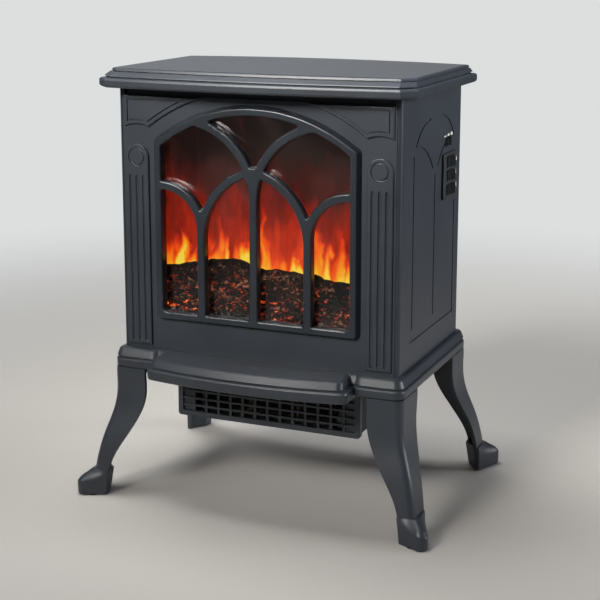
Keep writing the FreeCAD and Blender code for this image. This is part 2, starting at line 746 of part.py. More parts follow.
def make_front_panel():
    back = body_front + front_wall
    turn = body_front + front_return
    outer = block(-body_half, body_half, body_front, turn, plinth_top, body_top)
    upright = edges_along_z(outer, body_front)
    outer = outer.makeFillet(front_corner_radius, upright)
    inner = block(-body_half + front_wall, body_half - front_wall, back, turn + past, plinth_top - past,
                  body_top + past)
    beads = both_sides(rod(body_half - bead_inset, body_front, plinth_top - past, bead_radius,
                           body_height + 2 * past, Vector(0, 0, 1)))
    panel = outer.cut([inner] + beads)
    channel_half = body_half - top_recess_side_gap
    channel_low = body_top - top_recess_height
    channel_back = body_front + top_recess_depth
    rib = block(-channel_half - 2, channel_half + 2, back - past, channel_back + front_wall,
                channel_low - front_wall, body_top)
    channel = block(-channel_half, channel_half, body_front - past, channel_back, channel_low,
                    body_top + past)
    panel = fuse([panel, rib]).cut(channel)
    panel = fuse([panel] + both_sides(make_pilaster()) + both_sides(make_spandrel()))
    hole = arch_prism(frame_lap - fit_gap, body_front - 5, back + past, *spigot_radii)
    drills = [screw_hole(x + dx * clip_screw_reach, back + past / 2, z + dz * clip_screw_reach, (0, -1, 0),
                         clip_screw_length, clip_screw_radius) for x, z, dx, dz in clip_layout()]
    pieces["front_panel"] = panel.cut([hole] + drills)


def ring_bar(x, z, radius, y0, y1, keep):
    half = tracery_width / 2
    outside = rod(x, y0, z, radius + half, y1 - y0, Vector(0, 1, 0))
    inside = rod(x, y0 - 1, z, radius - half, y1 - y0 + 2, Vector(0, 1, 0))
    return outside.cut(inside).common(keep)


def tracery_bars(y0, y1):
    opening_half = window_half - frame_bar
    opening_bottom = window_bottom + frame_bar
    mullion_x = opening_half * mullion_share
    half = tracery_width / 2
    low = opening_bottom - tracery_lap
    high = window_crown
    spring = opening_bottom + lancet_spring
    side_spring = spring + side_lancet_lift
    lancet_radius = mullion_x + lancet_overlap
    lancet_top = spring + math.sqrt(lancet_radius**2 - lancet_overlap**2)
    fork_spring = lancet_top - fork_drop
    side_radius = opening_half - mullion_x
    spare = tracery_width * 0.77     # room beyond the bars that each arc is trimmed to

    def trimmed(side, centre_x, centre_z, radius, near, far):
        keep = block(min(side * near, side * far), max(side * near, side * far), y0, y1, centre_z, high)
        return ring_bar(side * centre_x, centre_z, radius, y0, y1, keep)

    bars = [block(-half, half, y0, y1, low, lancet_top - 0.3)]
    for side in (1, -1):
        x = side * mullion_x
        bars.append(block(x - half, x + half, y0, y1, low, side_spring))
        bars.append(trimmed(side, -lancet_overlap, spring, lancet_radius, 0, mullion_x + spare))
        bars.append(trimmed(side, opening_half, side_spring, side_radius, mullion_x - spare,
                            opening_half + tracery_lap))
        bars.append(trimmed(side, fork_radius, fork_spring, fork_radius, -spare, fork_radius))
    return bars


def make_window():
    front = body_front - frame_front
    back = front + frame_depth
    outer = Part.makeLoft([arch_loop(frame_draft, front, *frame_front_radii),
                           arch_loop(0, body_front, frame_corner_radius, frame_shoulder_radius)], True, True)
    outer = outer.makeFillet(frame_edge_radius, edges_in_plane(outer, front))
    spigot = arch_prism(frame_lap, body_front - past, back, *spigot_radii)
    opening = arch_prism(frame_bar, front - past, back + past, *opening_radii)
    frame = fuse([outer, spigot]).cut(opening)
    limit = arch_prism(frame_lap + 1, front - past, back + past, *opening_radii)
    bars = fuse(tracery_bars(front, front + tracery_depth)).common(limit)
    frame = fuse([frame, bars])
    forks = [edge for edge in edges_along_y(frame, [(0, arch_centre)], arch_radius)
             if abs(edge.Length - tracery_depth) < 0.01 and is_sharp(frame, edge)]
    frame = frame.makeFillet(tracery_fork_radius, forks)
    inner_front = [edge for edge in edges_in_plane(frame, front) if not edge_is_outer(edge)]
    pieces["window_frame"] = frame.makeFillet(tracery_edge_radius, inner_front)
    pieces["window_glass"] = arch_prism(frame_lap, back, back + glass_thickness, *spigot_radii)
    clips = []
    screws = []
    panel_back = body_front + front_wall
    glass_back = back + glass_thickness
    for x, z, dx, dz in clip_layout():
        clips.append(glass_clip(x, z, dx, dz, panel_back, glass_back))
        screws.append(screw(x + dx * clip_screw_reach, panel_back + clip_sheet, z + dz * clip_screw_reach,
                            (0, -1, 0), 3.2, 2.6, clip_screw_radius))
    pieces["glass_clips"] = group(clips)
    pieces["clip_screws"] = group(screws)


def edge_is_outer(edge):
    """True for the front edges that run along the bevel of the frame's outer edge."""
    middle = edge.valueAt((edge.FirstParameter + edge.LastParameter) / 2)
    near = frame_draft + frame_edge_radius + 1
    if middle.z < window_bottom + near:
        return True
    if abs(middle.x) > window_half - near:
        return True
    distance = math.hypot(middle.x, middle.z - arch_centre)
    return distance > arch_radius - near and middle.z > arch_centre + 100


def glass_clip(x, z, dx, dz, panel_back, glass_back):
    """Z-shaped spring clip: its foot lies on the panel and its tongue on the glass."""
    foot = block(-clip_half, clip_half, panel_back, panel_back + clip_sheet, 1.0, 12)
    riser = block(-clip_half, clip_half, panel_back, glass_back + clip_sheet, 1.0, 1.0 + clip_sheet)
    tongue = block(-clip_half, clip_half, glass_back, glass_back + clip_sheet, -4.5, 1.0 + clip_sheet)
    clip = fuse([foot, riser, tongue])
    clip = clip.cut(screw_hole(0, glass_back + 3, clip_screw_reach, (0, -1, 0), 20, clip_screw_radius))
    angle = math.degrees(math.atan2(dx, dz))
    clip.rotate(Vector(0, 0, 0), Vector(0, 1, 0), angle)
    clip.translate(Vector(x, 0, z))
    return clip


def side_motif():
    """Shallow grooves of a lancet motif, cut into the outer face of the right panel."""
    x0 = body_half - side_groove_depth
    depth = side_groove_depth + 1
    half = side_groove_width / 2
    middle = body_front + motif_depth
    base = plinth_top + motif_base
    foot = base + motif_foot_gap

    def upright(y, z0, z1):
        return block(x0, x0 + depth, y - half, y + half, z0, z1)

    def curve(y, z, radius, y0, y1, z0, z1):
        outside = rod(x0, y, z, radius + half, depth, Vector(1, 0, 0))
        inside = rod(x0 - 1, y, z, radius - half, depth + 2, Vector(1, 0, 0))
        keep = block(x0, x0 + depth, y0, y1, z0, z1)
        return outside.cut(inside).common(keep)

    left, right = middle - motif_half, middle + motif_half
    outer_z = plinth_top + motif_outer_height
    inner_z = plinth_top + motif_inner_height
    low_outer = outer_z + motif_outer_start
    low_inner = inner_z + motif_inner_start
    cutters = [upright(left, foot, low_outer - motif_outer_gap),
               upright(middle, foot, low_inner - motif_inner_gap),
               upright(right, base, low_inner - motif_rear_drop),
               block(x0, x0 + depth, left - motif_base_run, right + half, base - half, base + half)]
    for side in (-1, 1):
        y = middle + side * motif_outer_offset
        end = middle + side * motif_half
        cutters.append(curve(y, outer_z, motif_outer_radius, min(y, end), max(y, end), low_outer, body_top))
        y = middle + side * motif_inner_offset
        ends = [middle + side * reach for reach in motif_inner_reach]
        cutters.append(curve(y, inner_z, motif_inner_radius, min(ends), max(ends), low_inner, body_top))
    return cutters


cover_half = body_half - cover_side_margin
cover_bottom = plinth_top + cover_margin
cover_top = body_top - cover_margin


def cover_screw_places():
    rows = [cover_bottom + 12, (cover_bottom + cover_top) / 2, cover_top - 12]
    return [(side * (cover_half - 3.2), z) for side in (-1, 1) for z in rows]


def make_side_panels():
    y0 = body_front + front_return
    z0, z1 = plinth_top, body_top
    x0 = body_half - side_sheet
    wall = block(x0, body_half, y0, body_rear, z0, z1)
    lap = block(x0 - flange_width, x0, body_rear - side_sheet, body_rear, z0, z1)
    foot = block(x0 - flange_width, x0, y0, body_rear - side_sheet, z0, z0 + side_sheet)
    head = block(x0 - flange_width, x0, y0 + front_return, body_rear - side_sheet,
                 z1 - 2 * side_sheet, z1 - side_sheet)
    panel = fuse([wall, lap, foot, head])
    holes = [screw_hole(x, body_rear + 1, z, (0, -1, 0), 5, cover_screw_radius)
             for x, z in cover_screw_places() if x > 0]
    panel = panel.cut(side_motif() + holes)
    pieces["side_panel_left"] = mirror_x(panel)
    y, z = control_place()
    window = block(x0 - 1, body_half + 1, y - collar_half_y - fit_gap, y + collar_half_y + fit_gap,
                   z - collar_half_z - fit_gap, z + collar_half_z + fit_gap)
    slot_half = math.sqrt(thumb_radius**2 - (thumb_radius - thumb_proud - side_sheet)**2) + 1.5 * thumb_gap
    thumb_z = body_top - thumb_drop
    slot = block(x0 - 1, body_half + 1, y - slot_half, y + slot_half,
                 thumb_z - thumb_thickness / 2 - thumb_gap, thumb_z + thumb_thickness / 2 + thumb_gap)
    pieces["side_panel_right"] = panel.cut([window, slot])


gland_x = body_half - gland_inset
gland_z = plinth_top + gland_rise


def slot_field(columns, rows, pitch_x, pitch_z, top, half_width, half_height):
    """Ventilation slots in rows below top, centred across the cover."""
    slots = []
    for row in range(rows):
        for column in range(columns):
            x = (column - (columns - 1) / 2) * pitch_x
            z = top - row * pitch_z
            slots.append(block(x - half_width, x + half_width, body_rear, body_rear + cover_depth + past,
                               z - half_height, z + half_height))
    return slots


def make_rear_cover():
    y0, y1 = body_rear, body_rear + cover_depth
    half, low, high = cover_half - cover_flange, cover_bottom + cover_flange, cover_top - cover_flange
    outer = block(-half, half, y0, y1, low, high)
    tray_edges = [edge for edge in outer.Edges if abs(edge.CenterOfMass.y - y0) > 1]
    outer = outer.makeFillet(4, tray_edges)
    flange = block(-cover_half, cover_half, y0, y0 + sheet, cover_bottom, cover_top)
    inner = block(-half + sheet, half - sheet, y0 - past, y1 - sheet, low + sheet, high - sheet)
    cover = fuse([outer, flange]).cut(inner)
    slots = slot_field(7, 7, 26, 11, cover_top - 52, 9, 2)
    slots += slot_field(9, 4, 16, 10, cover_bottom + 64, 5, 1.6)
    gland_hole = rod(gland_x, y0, gland_z, gland_radius + fit_gap, cover_depth + past, Vector(0, 1, 0))
    holes = [screw_hole(x, y0 - past, z, (0, 1, 0), 6, cover_screw_radius) for x, z in cover_screw_places()]
    pieces["rear_cover"] = cover.cut(slots + [gland_hole] + holes)
    pieces["rear_screws"] = group([screw(x, y0 + sheet, z, (0, -1, 0), 8, 3.4, cover_screw_radius)
                                   for x, z in cover_screw_places()])


def make_gland():
    wall = body_rear + cover_depth
    back = Vector(0, 1, 0)
    neck = rod(gland_x, wall - gland_neck, gland_z, gland_radius, gland_neck, back)
    head = Part.makeCone(gland_radius + 3, gland_radius + 1.2, gland_head, Vector(gland_x, wall, gland_z),
                         back)
    nut = rod(gland_x, wall - sheet - gland_nut, gland_z, gland_radius + 2.5, gland_nut, back)
    bore = rod(gland_x, wall - gland_neck - past, gland_z, gland_bore,
               gland_neck + gland_head + 2 * past, back)
    pieces["cord_gland"] = fuse([neck, head, nut]).cut(bore)


def make_top_plate():
    z0 = body_top - side_sheet
    half = body_half - side_sheet
    plate = block(-half, half, body_front + front_return, body_rear, z0, body_top)
    rib_back = body_front + front_wall + top_recess_depth
    front_part = block(-half + 2, half - 2, rib_back, body_front + front_return, z0, body_top)
    holes = []
    screws = []
    for x in (-slab_screw_x, slab_screw_x):
        for y in slab_screw_y:
            holes.append(screw_hole(x, y, z0 - 1, (0, 0, 1), 5, slab_screw_radius))
            screws.append(screw(x, y, z0, (0, 0, 1), slab_screw_length, 4, slab_screw_radius))
    lap_room = block(-half, half, body_rear - side_sheet, body_rear + 1, z0 - 1, body_top + 1)
    pieces["top_plate"] = fuse([plate, front_part]).cut(holes + [lap_room])
    pieces["slab_screws"] = group(screws)


def make_firebox():
    inner_half = body_half - side_sheet
    floor_top = firebox_floor + sheet
    top = body_top - firebox_top_margin
    front = body_front + frame_depth - frame_front + glass_thickness + clip_sheet + 1
    pieces["firebox_floor"] = block(-inner_half, inner_half, body_front + front_return,
                                    body_rear - firebox_rear_gap, firebox_floor, floor_top)
    screen_y = body_front + screen_depth
    liner_back = screen_y + screen_thickness + liner_tail
    outer = block(-firebox_half - sheet, firebox_half + sheet, front, liner_back, floor_top, top)
    inner = block(-firebox_half, firebox_half, front - 1, liner_back + 1, floor_top - 1, top - sheet)
    pieces["firebox_liner"] = outer.cut(inner)
    pieces["flame_screen"] = block(-firebox_half, firebox_half, screen_y, screen_y + screen_thickness,
                                   floor_top, top - sheet)
    reflector_y = body_front + reflector_depth
    reflector_top = top - reflector_drop
    reflector = block(-firebox_half, firebox_half, reflector_y, reflector_y + sheet, floor_top, reflector_top)
    hood = block(-firebox_half, firebox_half, liner_back + hood_gap, reflector_y + sheet,
                 reflector_top - sheet, reflector_top)
    pieces["back_reflector"] = fuse([reflector, hood])


# the heap's outline: place along X and rise above the firebox floor
log_crest = [(-154, 60), (-142, 70), (-120, 75), (-99, 80), (-81, 78), (-62, 84), (-48, 90), (-29, 85),
             (-9, 79), (10, 76), (29, 77), (44, 83), (61, 77), (80, 71), (97, 69), (120, 66), (140, 70),
             (154, 58)]
log_slope_low = 20.0      # the front slope starts at this height
log_slope_high = 100.0
log_slope_run = 26.0


def make_log_bed():
    """Hollow translucent moulding of heaped logs and embers."""
    floor_top = firebox_floor + sheet
    back = body_front + screen_depth - 1
    foot = body_front + log_front
    crest = [(x, firebox_floor + rise) for x, rise in log_crest]
    left, right = crest[0][0], crest[-1][0]
    heap = polygon_xz([(left, floor_top)] + crest + [(right, floor_top)], foot, back)
    corners = [Vector(left - past, foot + y, floor_top + z)
               for y, z in ((-past, log_slope_low), (log_slope_run, log_slope_high), (-past, log_slope_high))]
    slope_face = Part.Face(Part.makePolygon(corners + [corners[0]]))
    slope = slope_face.extrude(Vector(right - left + 2 * past, 0, 0))
    heap = heap.cut(slope)
    inner_crest = [(x, z - log_wall - 1) for x, z in crest[1:-1]]
    low_x, high_x = inner_crest[0][0], inner_crest[-1][0]
    room = polygon_xz([(low_x, floor_top - 1)] + inner_crest + [(high_x, floor_top - 1)],
                      foot + log_wall, back - log_wall)
    room_slope = slope.translated(Vector(0, log_wall + 1, 0))
    pieces["log_bed"] = heap.cut(room.cut(room_slope))


def led_board(half, y0, y1, z, count):
    board = block(-half, half, y0, y1, z, z + 1.6)
    lamps = []
    for i in range(count):
        x = -half + 8 + i * (2 * half - 16) / (count - 1)
        lamps.append(rod(x, (y0 + y1) / 2, z + 1.6, 2.4, 3, Vector(0, 0, 1)))
    return board, lamps


def make_lights():
    floor_top = firebox_floor + sheet
    foot = body_front + log_front + log_wall
    ember_board, ember_lamps = led_board(110, foot + 3, foot + 19, floor_top, 10)
    y = body_front + spindle_depth
    flame_board, flame_lamps = led_board(120, y - 9, y + 7, floor_top, 12)
    pieces["ember_led_board"] = ember_board
    pieces["flame_led_board"] = flame_board
    pieces["led_lamps"] = group(ember_lamps + flame_lamps)


def make_flag(x, y, z, angle):
    """Two-bladed foil flag pressed on the spindle's hub."""
    half, ring_radius = flag_half, spindle_hub_radius + 1.0
    blades = [block(x - half, x + half, y - 0.3, y + 0.3, z + spindle_hub_radius - 0.2, z + flag_radius),
              block(x - half, x + half, y - 0.3, y + 0.3, z - flag_radius, z - spindle_hub_radius + 0.2)]
    ring = rod(x - half, y, z, ring_radius, 2 * half, Vector(1, 0, 0))
    bore = rod(x - half - past, y, z, spindle_hub_radius, 2 * (half + past), Vector(1, 0, 0))
    flag = fuse(blades + [ring]).cut(bore)
    flag.rotate(Vector(x, y, z), Vector(1, 0, 0), angle)
    return flag


def make_flame_spindle():
    y = body_front + spindle_depth
    floor_top = firebox_floor + sheet
    z = floor_top + spindle_height
    shaft_half = bracket_x + 6
    shaft = rod(-shaft_half, y, z, spindle_radius, 2 * shaft_half, Vector(1, 0, 0))
    hub = rod(-bracket_x + 6, y, z, spindle_hub_radius, 2 * (bracket_x - 6), Vector(1, 0, 0))
    pieces["flame_spindle"] = fuse([hub, shaft])
    first_flag = bracket_x - 16
    pitch = 2 * first_flag / (flag_count - 1)
    pieces["spindle_flags"] = group([make_flag(-first_flag + i * pitch, y, z, i * flag_twist)
                                     for i in range(flag_count)])
    bush_radius = spindle_radius + running_gap + bush_wall
    brackets = []
    for side, bore_radius in ((-1, bush_radius), (1, spindle_radius + 1.2)):
        wall = block(bracket_x, bracket_x + sheet, y - bracket_half, y + bracket_half, floor_top,
                     z + bracket_half)
        foot = block(bracket_x - 10, bracket_x, y + 8.5, y + bracket_half, floor_top, floor_top + sheet)
        bracket = fuse([wall, foot]).cut(rod(bracket_x - 1, y, z, bore_radius, 4, Vector(1, 0, 0)))
        brackets.append(bracket if side > 0 else mirror_x(bracket))
    pieces["spindle_brackets"] = group(brackets)
    bush = rod(-bracket_x - 3, y, z, bush_radius, 5, Vector(1, 0, 0))
    bush_bore = rod(-bracket_x - 4, y, z, spindle_radius + running_gap, 8, Vector(1, 0, 0))
    pieces["spindle_bush"] = bush.cut(bush_bore)
    motor = rod(bracket_x + sheet, y, z, 11.5, 16, Vector(1, 0, 0))
    motor_bore = rod(bracket_x, y, z, spindle_radius + running_gap, 8, Vector(1, 0, 0))
    pieces["spindle_motor"] = motor.cut(motor_bore)


def make_grille():
    front = body_front + housing_front - grille_depth
    back = body_front + housing_front
    z0 = plinth_top - grille_bottom_drop
    z1 = z0 + grille_height
    inner_half = grille_half - grille_bar
    plate = block(-grille_half, grille_half, front, back, z0, z1)
    plate = plate.makeFillet(4, edges_along_y(plate, [(x, z0) for x in (-grille_half, grille_half)], 1))
    plate = plate.makeFillet(1.2, edges_in_plane(plate, front))
    opening = block(-inner_half, inner_half, front - 1, back + 1, z0 + grille_bar, z1 - grille_bar + 4)
    columns = 12
    cells_half = grille_pitch_x * columns / 2
    bars = []
    rows = int((grille_height - 2 * grille_bar) / grille_pitch_z)
    for row in range(1, rows + 1):
        z = z0 + grille_bar + row * grille_pitch_z - 2
        bars.append(block(-inner_half, inner_half, front + 1.2, back - 1, z - 1.3, z + 1.3))
    for column in range(columns + 1):
        x = -cells_half + column * grille_pitch_x
        bars.append(block(x - 1.7, x + 1.7, front + 2.2, back, z0 + grille_bar, z1 - grille_bar + 4))
    blanks = both_sides(block(cells_half, inner_half, front + 4.5, front + 6, z0 + grille_bar,
                              z1 - grille_bar + 4))
    pieces["outlet_grille"] = fuse([plate.cut(opening)] + bars + blanks)


def make_heater():
    y0 = body_front + housing_front
    y1 = y0 + housing_depth
    z0 = plinth_top - housing_drop
    z1 = plinth_top
    wall = housing_sheet
    outer = block(-housing_half, housing_half, y0, y1, z0, z1)
    inner = block(-housing_half + wall, housing_half - wall, y0 - 1, y1 - wall, z0 + wall, z1 + 1)
    housing = outer.cut(inner)
    flanges = [block(housing_half - wall, housing_half + 8, y0, y1, z1 - wall, z1),
               block(-housing_half - 8, -housing_half + wall, y0, y1, z1 - wall, z1)]
    slots = []
    for column in range(9):
        x = (column - 4) * 24
        for low in (20, 30, 40):
            slots.append(block(x - 8, x + 8, y1 - 3, y1 + past, z0 + low, z0 + low + 4))
    wy = body_front + wheel_depth
    wz = plinth_top - wheel_drop
    bush_radius = shaft_radius + running_gap + 2.5
    bush_hole = rod(-housing_half - 1, wy, wz, bush_radius, wall + 2, Vector(1, 0, 0))
    pieces["heater_housing"] = fuse([housing] + flanges).cut(slots + [bush_hole])
    bush = fuse([rod(-housing_half - 1.5, wy, wz, bush_radius, wall + 6, Vector(1, 0, 0)),
                 rod(-housing_half + wall, wy, wz, bush_radius + 3, 2, Vector(1, 0, 0))])
    bore = rod(-housing_half - 3, wy, wz, shaft_radius + running_gap, wall + 12, Vector(1, 0, 0))
    pieces["blower_bush"] = bush.cut(bore)
    make_blower(wy, wz)
    make_element(y0, z0 + wall, z1)


def make_blower(y, z):
    start = -housing_half + 14
    end = start + wheel_length
    discs = [rod(x, y, z, wheel_radius, 2, Vector(1, 0, 0))
             for x in (start, start + wheel_length / 2, end - 2)]
    blades = []
    for i in range(wheel_blade_count):
        blade = block(start, end, -0.5, 0.5, -3.6, 3.6)
        blade.rotate(Vector(0, 0, 0), Vector(1, 0, 0), 30)
        blade.translate(Vector(0, 0, wheel_radius - 4.2))
        blade.rotate(Vector(0, 0, 0), Vector(1, 0, 0), 360.0 / wheel_blade_count * i)
        blade.translate(Vector(0, y, z))
        blades.append(blade)
    hubs = [rod(start - 5, y, z, 6, 7, Vector(1, 0, 0)), rod(end - 2, y, z, 6, 7, Vector(1, 0, 0))]
    wheel = fuse(discs + hubs + blades)
    pieces["blower_wheel"] = wheel.cut(rod(start - 8, y, z, shaft_radius, wheel_length + 20, Vector(1, 0, 0)))
    shaft_left = -housing_half - 1.5
    motor_x = housing_half - housing_sheet - motor_length
    shaft = rod(shaft_left, y, z, shaft_radius, motor_x + motor_length - 3 - shaft_left, Vector(1, 0, 0))
    pieces["blower_shaft"] = shaft
    rotor_x = motor_x + 5
    rotor_bore = rod(rotor_x - 1, y, z, shaft_radius, 14, Vector(1, 0, 0))
    pieces["motor_rotor"] = rod(rotor_x, y, z, 11, 12, Vector(1, 0, 0)).cut(rotor_bore)
    stack = block(rotor_x, rotor_x + 12, y - 20, y + 20, z - 20, z + 20)
    coil_room = block(rotor_x - 1, rotor_x + 13, y + 8, y + 14, z - 12, z + 12)
    stack = stack.cut([rod(rotor_x - 1, y, z, 11.6, 14, Vector(1, 0, 0)), coil_room])
    cheek_left = block(motor_x, motor_x + 2, y - 20, y + 20, z - 8, z + 8)
    cheek_posts = [block(motor_x + 2, rotor_x, y + side * 18 - 2, y + side * 18 + 2, z - 8, z + 8)
                   for side in (-1, 1)]
    cheek_left = fuse([cheek_left] + cheek_posts)
    cheek_left = cheek_left.cut(rod(motor_x - 1, y, z, shaft_radius + running_gap, 4, Vector(1, 0, 0)))
    tail = block(rotor_x + 12, housing_half - housing_sheet, y - 20, y - 14, z - 8, z + 8)
    other_tail = block(rotor_x + 12, housing_half - housing_sheet, y + 14.5, y + 20, z - 8, z + 8)
    pieces["motor_stator"] = fuse([stack, cheek_left, tail, other_tail])
    winding = block(rotor_x - 4, rotor_x + 16, y + 21, y + 30, z - 12, z + 12)
    core = block(rotor_x, rotor_x + 12, y + 20, y + 32, z - 15, z + 15)
    pieces["motor_coil"] = fuse([winding, core])


def make_element(y0, floor, top):
    boards = []
    for x in (-100.0, -33.0, 33.0, 78.0):
        boards.append(block(x - 1, x + 1, y0 + 14, y0 + 34, floor, top - 8))
    rails = [block(-101, 79, y0 + 14, y0 + 34, floor, floor + 2)]
    frame = fuse(boards + rails)
    wires = []
    wire_holes = []
    for i in range(6):
        for j in range(2):
            z = floor + 14 + i * 11
            y = y0 + 20 + j * 8
            wires.append(rod(-104, y, z, 1.6, 186, Vector(1, 0, 0)))
            wire_holes.append(rod(-105, y, z, 1.6, 190, Vector(1, 0, 0)))
    frame = frame.cut(wire_holes)
    pieces["element_frame"] = frame
    ends = [block(-105.5, -104, y0 + 18, y0 + 30, floor + 12, floor + 72)]
    pieces["heating_wires"] = fuse(wires + ends)
    cutout = block(86, 96, y0 + 16, y0 + 30, floor, floor + 12)
    cap = rod(91, y0 + 23, floor + 12, 6, 5, Vector(0, 0, 1))
    pieces["thermal_cutout"] = fuse([cutout, cap])


def control_place():
    return body_front + control_depth, body_top - control_drop


def rocker_heights():
    z = control_place()[1]
    return [("rocker_flame", z + rocker_pitch), ("rocker_low", z), ("rocker_high", z - rocker_pitch)]


def make_bezel():
    y, z = control_place()
    plate = block(body_half, body_half + bezel_proud, y - bezel_width / 2, y + bezel_width / 2,
                  z - bezel_height / 2, z + bezel_height / 2)
    corner = [edge for edge in plate.Edges if abs(edge.Vertexes[0].Point.x - edge.Vertexes[1].Point.x) > 1]
    plate = plate.makeFillet(3, corner)
    rim = [edge for edge in plate.Edges
           if all(abs(v.Point.x - body_half - bezel_proud) < 0.01 for v in edge.Vertexes)]
    plate = plate.makeFillet(1.2, rim)
    collar = block(body_half - side_sheet - bezel_collar, body_half + past / 2, y - collar_half_y,
                   y + collar_half_y, z - collar_half_z, z + collar_half_z)
    reach = rocker_radius + 0.1
    hole_half = rocker_half_height + rocker_gap
    deep = body_half - 20
    holes = [block(deep, body_half + 20, y - reach, y + reach, height - hole_half, height + hole_half)
             for _, height in rocker_heights()]
    room_z = collar_half_z - collar_wall
    behind = block(deep, body_half - past, y - reach - rocker_gap, y + reach + rocker_gap,
                   z - room_z, z + room_z)
    pieces["control_bezel"] = fuse([plate, collar]).cut(holes + [behind])


def make_rockers():
    y = control_place()[0]
    pivot_x = body_half - pivot_inset
    bodies = []
    for name, z in rocker_heights():
        low, high = z - rocker_half_height, z + rocker_half_height
        rim = pivot_inset + bezel_proud + 1.2
        outline = [(-1.5, -14), (rim + 1.6, -14), (rim - 0.2, 0), (rim + 1.6, 14), (-1.5, 14)]
        corners = [Vector(pivot_x + u, y + v, low) for u, v in outline]
        face = Part.Face(Part.makePolygon(corners + [corners[0]]))
        cap = face.extrude(Vector(0, 0, high - low))
        cap = cap.common(rod(pivot_x, y, low, rocker_radius, high - low, Vector(0, 0, 1)))
        stem = block(pivot_x - 3.6, pivot_x, y - 2.5, y + 2.5, low, high)
        pin = rod(pivot_x, y, low - 1.0, trunnion_radius, high - low + 2.0, Vector(0, 0, 1))
        rocker = fuse([cap, stem, pin])
        rocker.rotate(Vector(pivot_x, y, z), Vector(0, 0, 1), -rocker_off_angle)
        pieces[name] = rocker
        base = block(pivot_x - 5 - switch_depth, pivot_x - 5, y - 13, y + 13, z - 8.2, z + 8.2)
        cheeks = [block(pivot_x - 5.5, pivot_x + 2, y - 3.2, y + 3.2, z + 6.9, z + 8.2),
                  block(pivot_x - 5.5, pivot_x + 2, y - 3.2, y + 3.2, z - 8.2, z - 6.9)]
        tabs = [block(pivot_x - 33, pivot_x - 27, y + shift - 0.4, y + shift + 0.4, z - 2.4, z + 2.4)
                for shift in (-7, 0, 7)]
        collar_back = body_half - side_sheet - bezel_collar
        wing = block(pivot_x - 8, collar_back, y - 17, y + 17, z - 6, z + 6)
        wings = [wing.cut(block(pivot_x - 5, body_half, y - 15, y + 15, z - 9, z + 9))]
        bearing = rod(pivot_x, y, z - 9, trunnion_radius + running_gap, 18, Vector(0, 0, 1))
        bodies.append(fuse([base] + cheeks + tabs + wings).cut(bearing))
    pieces["switch_bodies"] = group(bodies)


def make_thermostat():
    y = control_place()[0]
    z = body_top - thumb_drop
    x = body_half + thumb_proud - thumb_radius
    low = z - thumb_thickness / 2
    wheel = rod(x, y, low, thumb_radius, thumb_thickness, Vector(0, 0, 1))
    wheel = wheel.makeChamfer(0.8, [e for e in wheel.Edges if e.Length > 2 * math.pi * thumb_radius - 1])
    ribs = []
    for i in range(thumb_rib_count):
        angle = 2 * math.pi * i / thumb_rib_count
        reach = thumb_radius + 0.25
        ribs.append(rod(x + reach * math.cos(angle), y + reach * math.sin(angle), low - past, 0.7,
                        thumb_thickness + 2 * past, Vector(0, 0, 1)))
    bore = rod(x, y, low - 1, 3.0, thumb_thickness + 2, Vector(0, 0, 1))
    pieces["thermostat_wheel"] = wheel.cut(ribs + [bore])
    spindle = rod(x, y, low - 8.5, 3.0, thumb_thickness + 8.5, Vector(0, 0, 1))
    pieces["thermostat_spindle"] = spindle
    body_x0, body_x1 = x - 14, body_half - side_sheet
    case = block(body_x0, body_x1, y - 15, y + 15, low - 10, low - 1.5)
    well = rod(x, y, low - 8.8, 3.0 + running_gap, 20, Vector(0, 0, 1))
    pieces["thermostat_body"] = case.cut(well)


def make_terminal_block():
    z = firebox_floor + sheet
    x0 = 96.0
    y0 = body_front + reflector_depth + 8
    base = block(x0, x0 + 42, y0, y0 + 16, z, z + 12)
    wells = [rod(x0 + 6 + i * 10, y0 + 8, z + 6, 2.6, 8, Vector(0, 0, 1)) for i in range(4)]
    pieces["terminal_block"] = base.cut(wells)


make_slab()
make_plinth()
make_base_pan()
make_legs()
make_front_panel()
make_window()
make_side_panels()
make_gland()
make_rear_cover()
make_top_plate()
make_firebox()
make_log_bed()
make_lights()
make_flame_spindle()
make_grille()
make_heater()
make_bezel()
make_rockers()
make_thermostat()
make_terminal_block()

os.makedirs("parts", exist_ok=True)
for name, shape in pieces.items():
    shape.exportStep("parts/" + name + ".step")
    print(name, len(shape.Solids), round(shape.Volume / 1000, 1), shape.isValid())
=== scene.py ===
import math
import random

import bpy
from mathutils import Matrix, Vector, noise


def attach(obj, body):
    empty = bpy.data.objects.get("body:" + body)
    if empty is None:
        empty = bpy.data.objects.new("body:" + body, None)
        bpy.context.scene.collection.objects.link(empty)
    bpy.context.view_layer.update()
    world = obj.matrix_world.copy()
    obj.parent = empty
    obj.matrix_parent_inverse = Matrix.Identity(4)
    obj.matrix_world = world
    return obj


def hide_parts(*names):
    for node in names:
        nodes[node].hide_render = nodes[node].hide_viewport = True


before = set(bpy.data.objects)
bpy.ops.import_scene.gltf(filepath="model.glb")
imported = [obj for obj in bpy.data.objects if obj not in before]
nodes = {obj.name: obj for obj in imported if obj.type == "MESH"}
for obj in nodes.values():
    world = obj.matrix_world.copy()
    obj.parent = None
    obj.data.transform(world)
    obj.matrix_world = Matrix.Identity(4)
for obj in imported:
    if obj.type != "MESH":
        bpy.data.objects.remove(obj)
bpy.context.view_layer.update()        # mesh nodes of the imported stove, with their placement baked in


def linear(hexColour):
    channels = [int(hexColour[i:i + 2], 16) / 255 for i in (1, 3, 5)]
    return [c / 12.92 if c <= 0.04045 else ((c + 0.055) / 1.055) ** 2.4 for c in channels] + [1.0]


def perMetre(millimetres):
    return 1000 / millimetres  # texture scale that gives a feature of this size


def metres(*millimetres):
    return [value / 1000 for value in millimetres]


def clamped(value, low, high):
    return max(low, min(high, value))


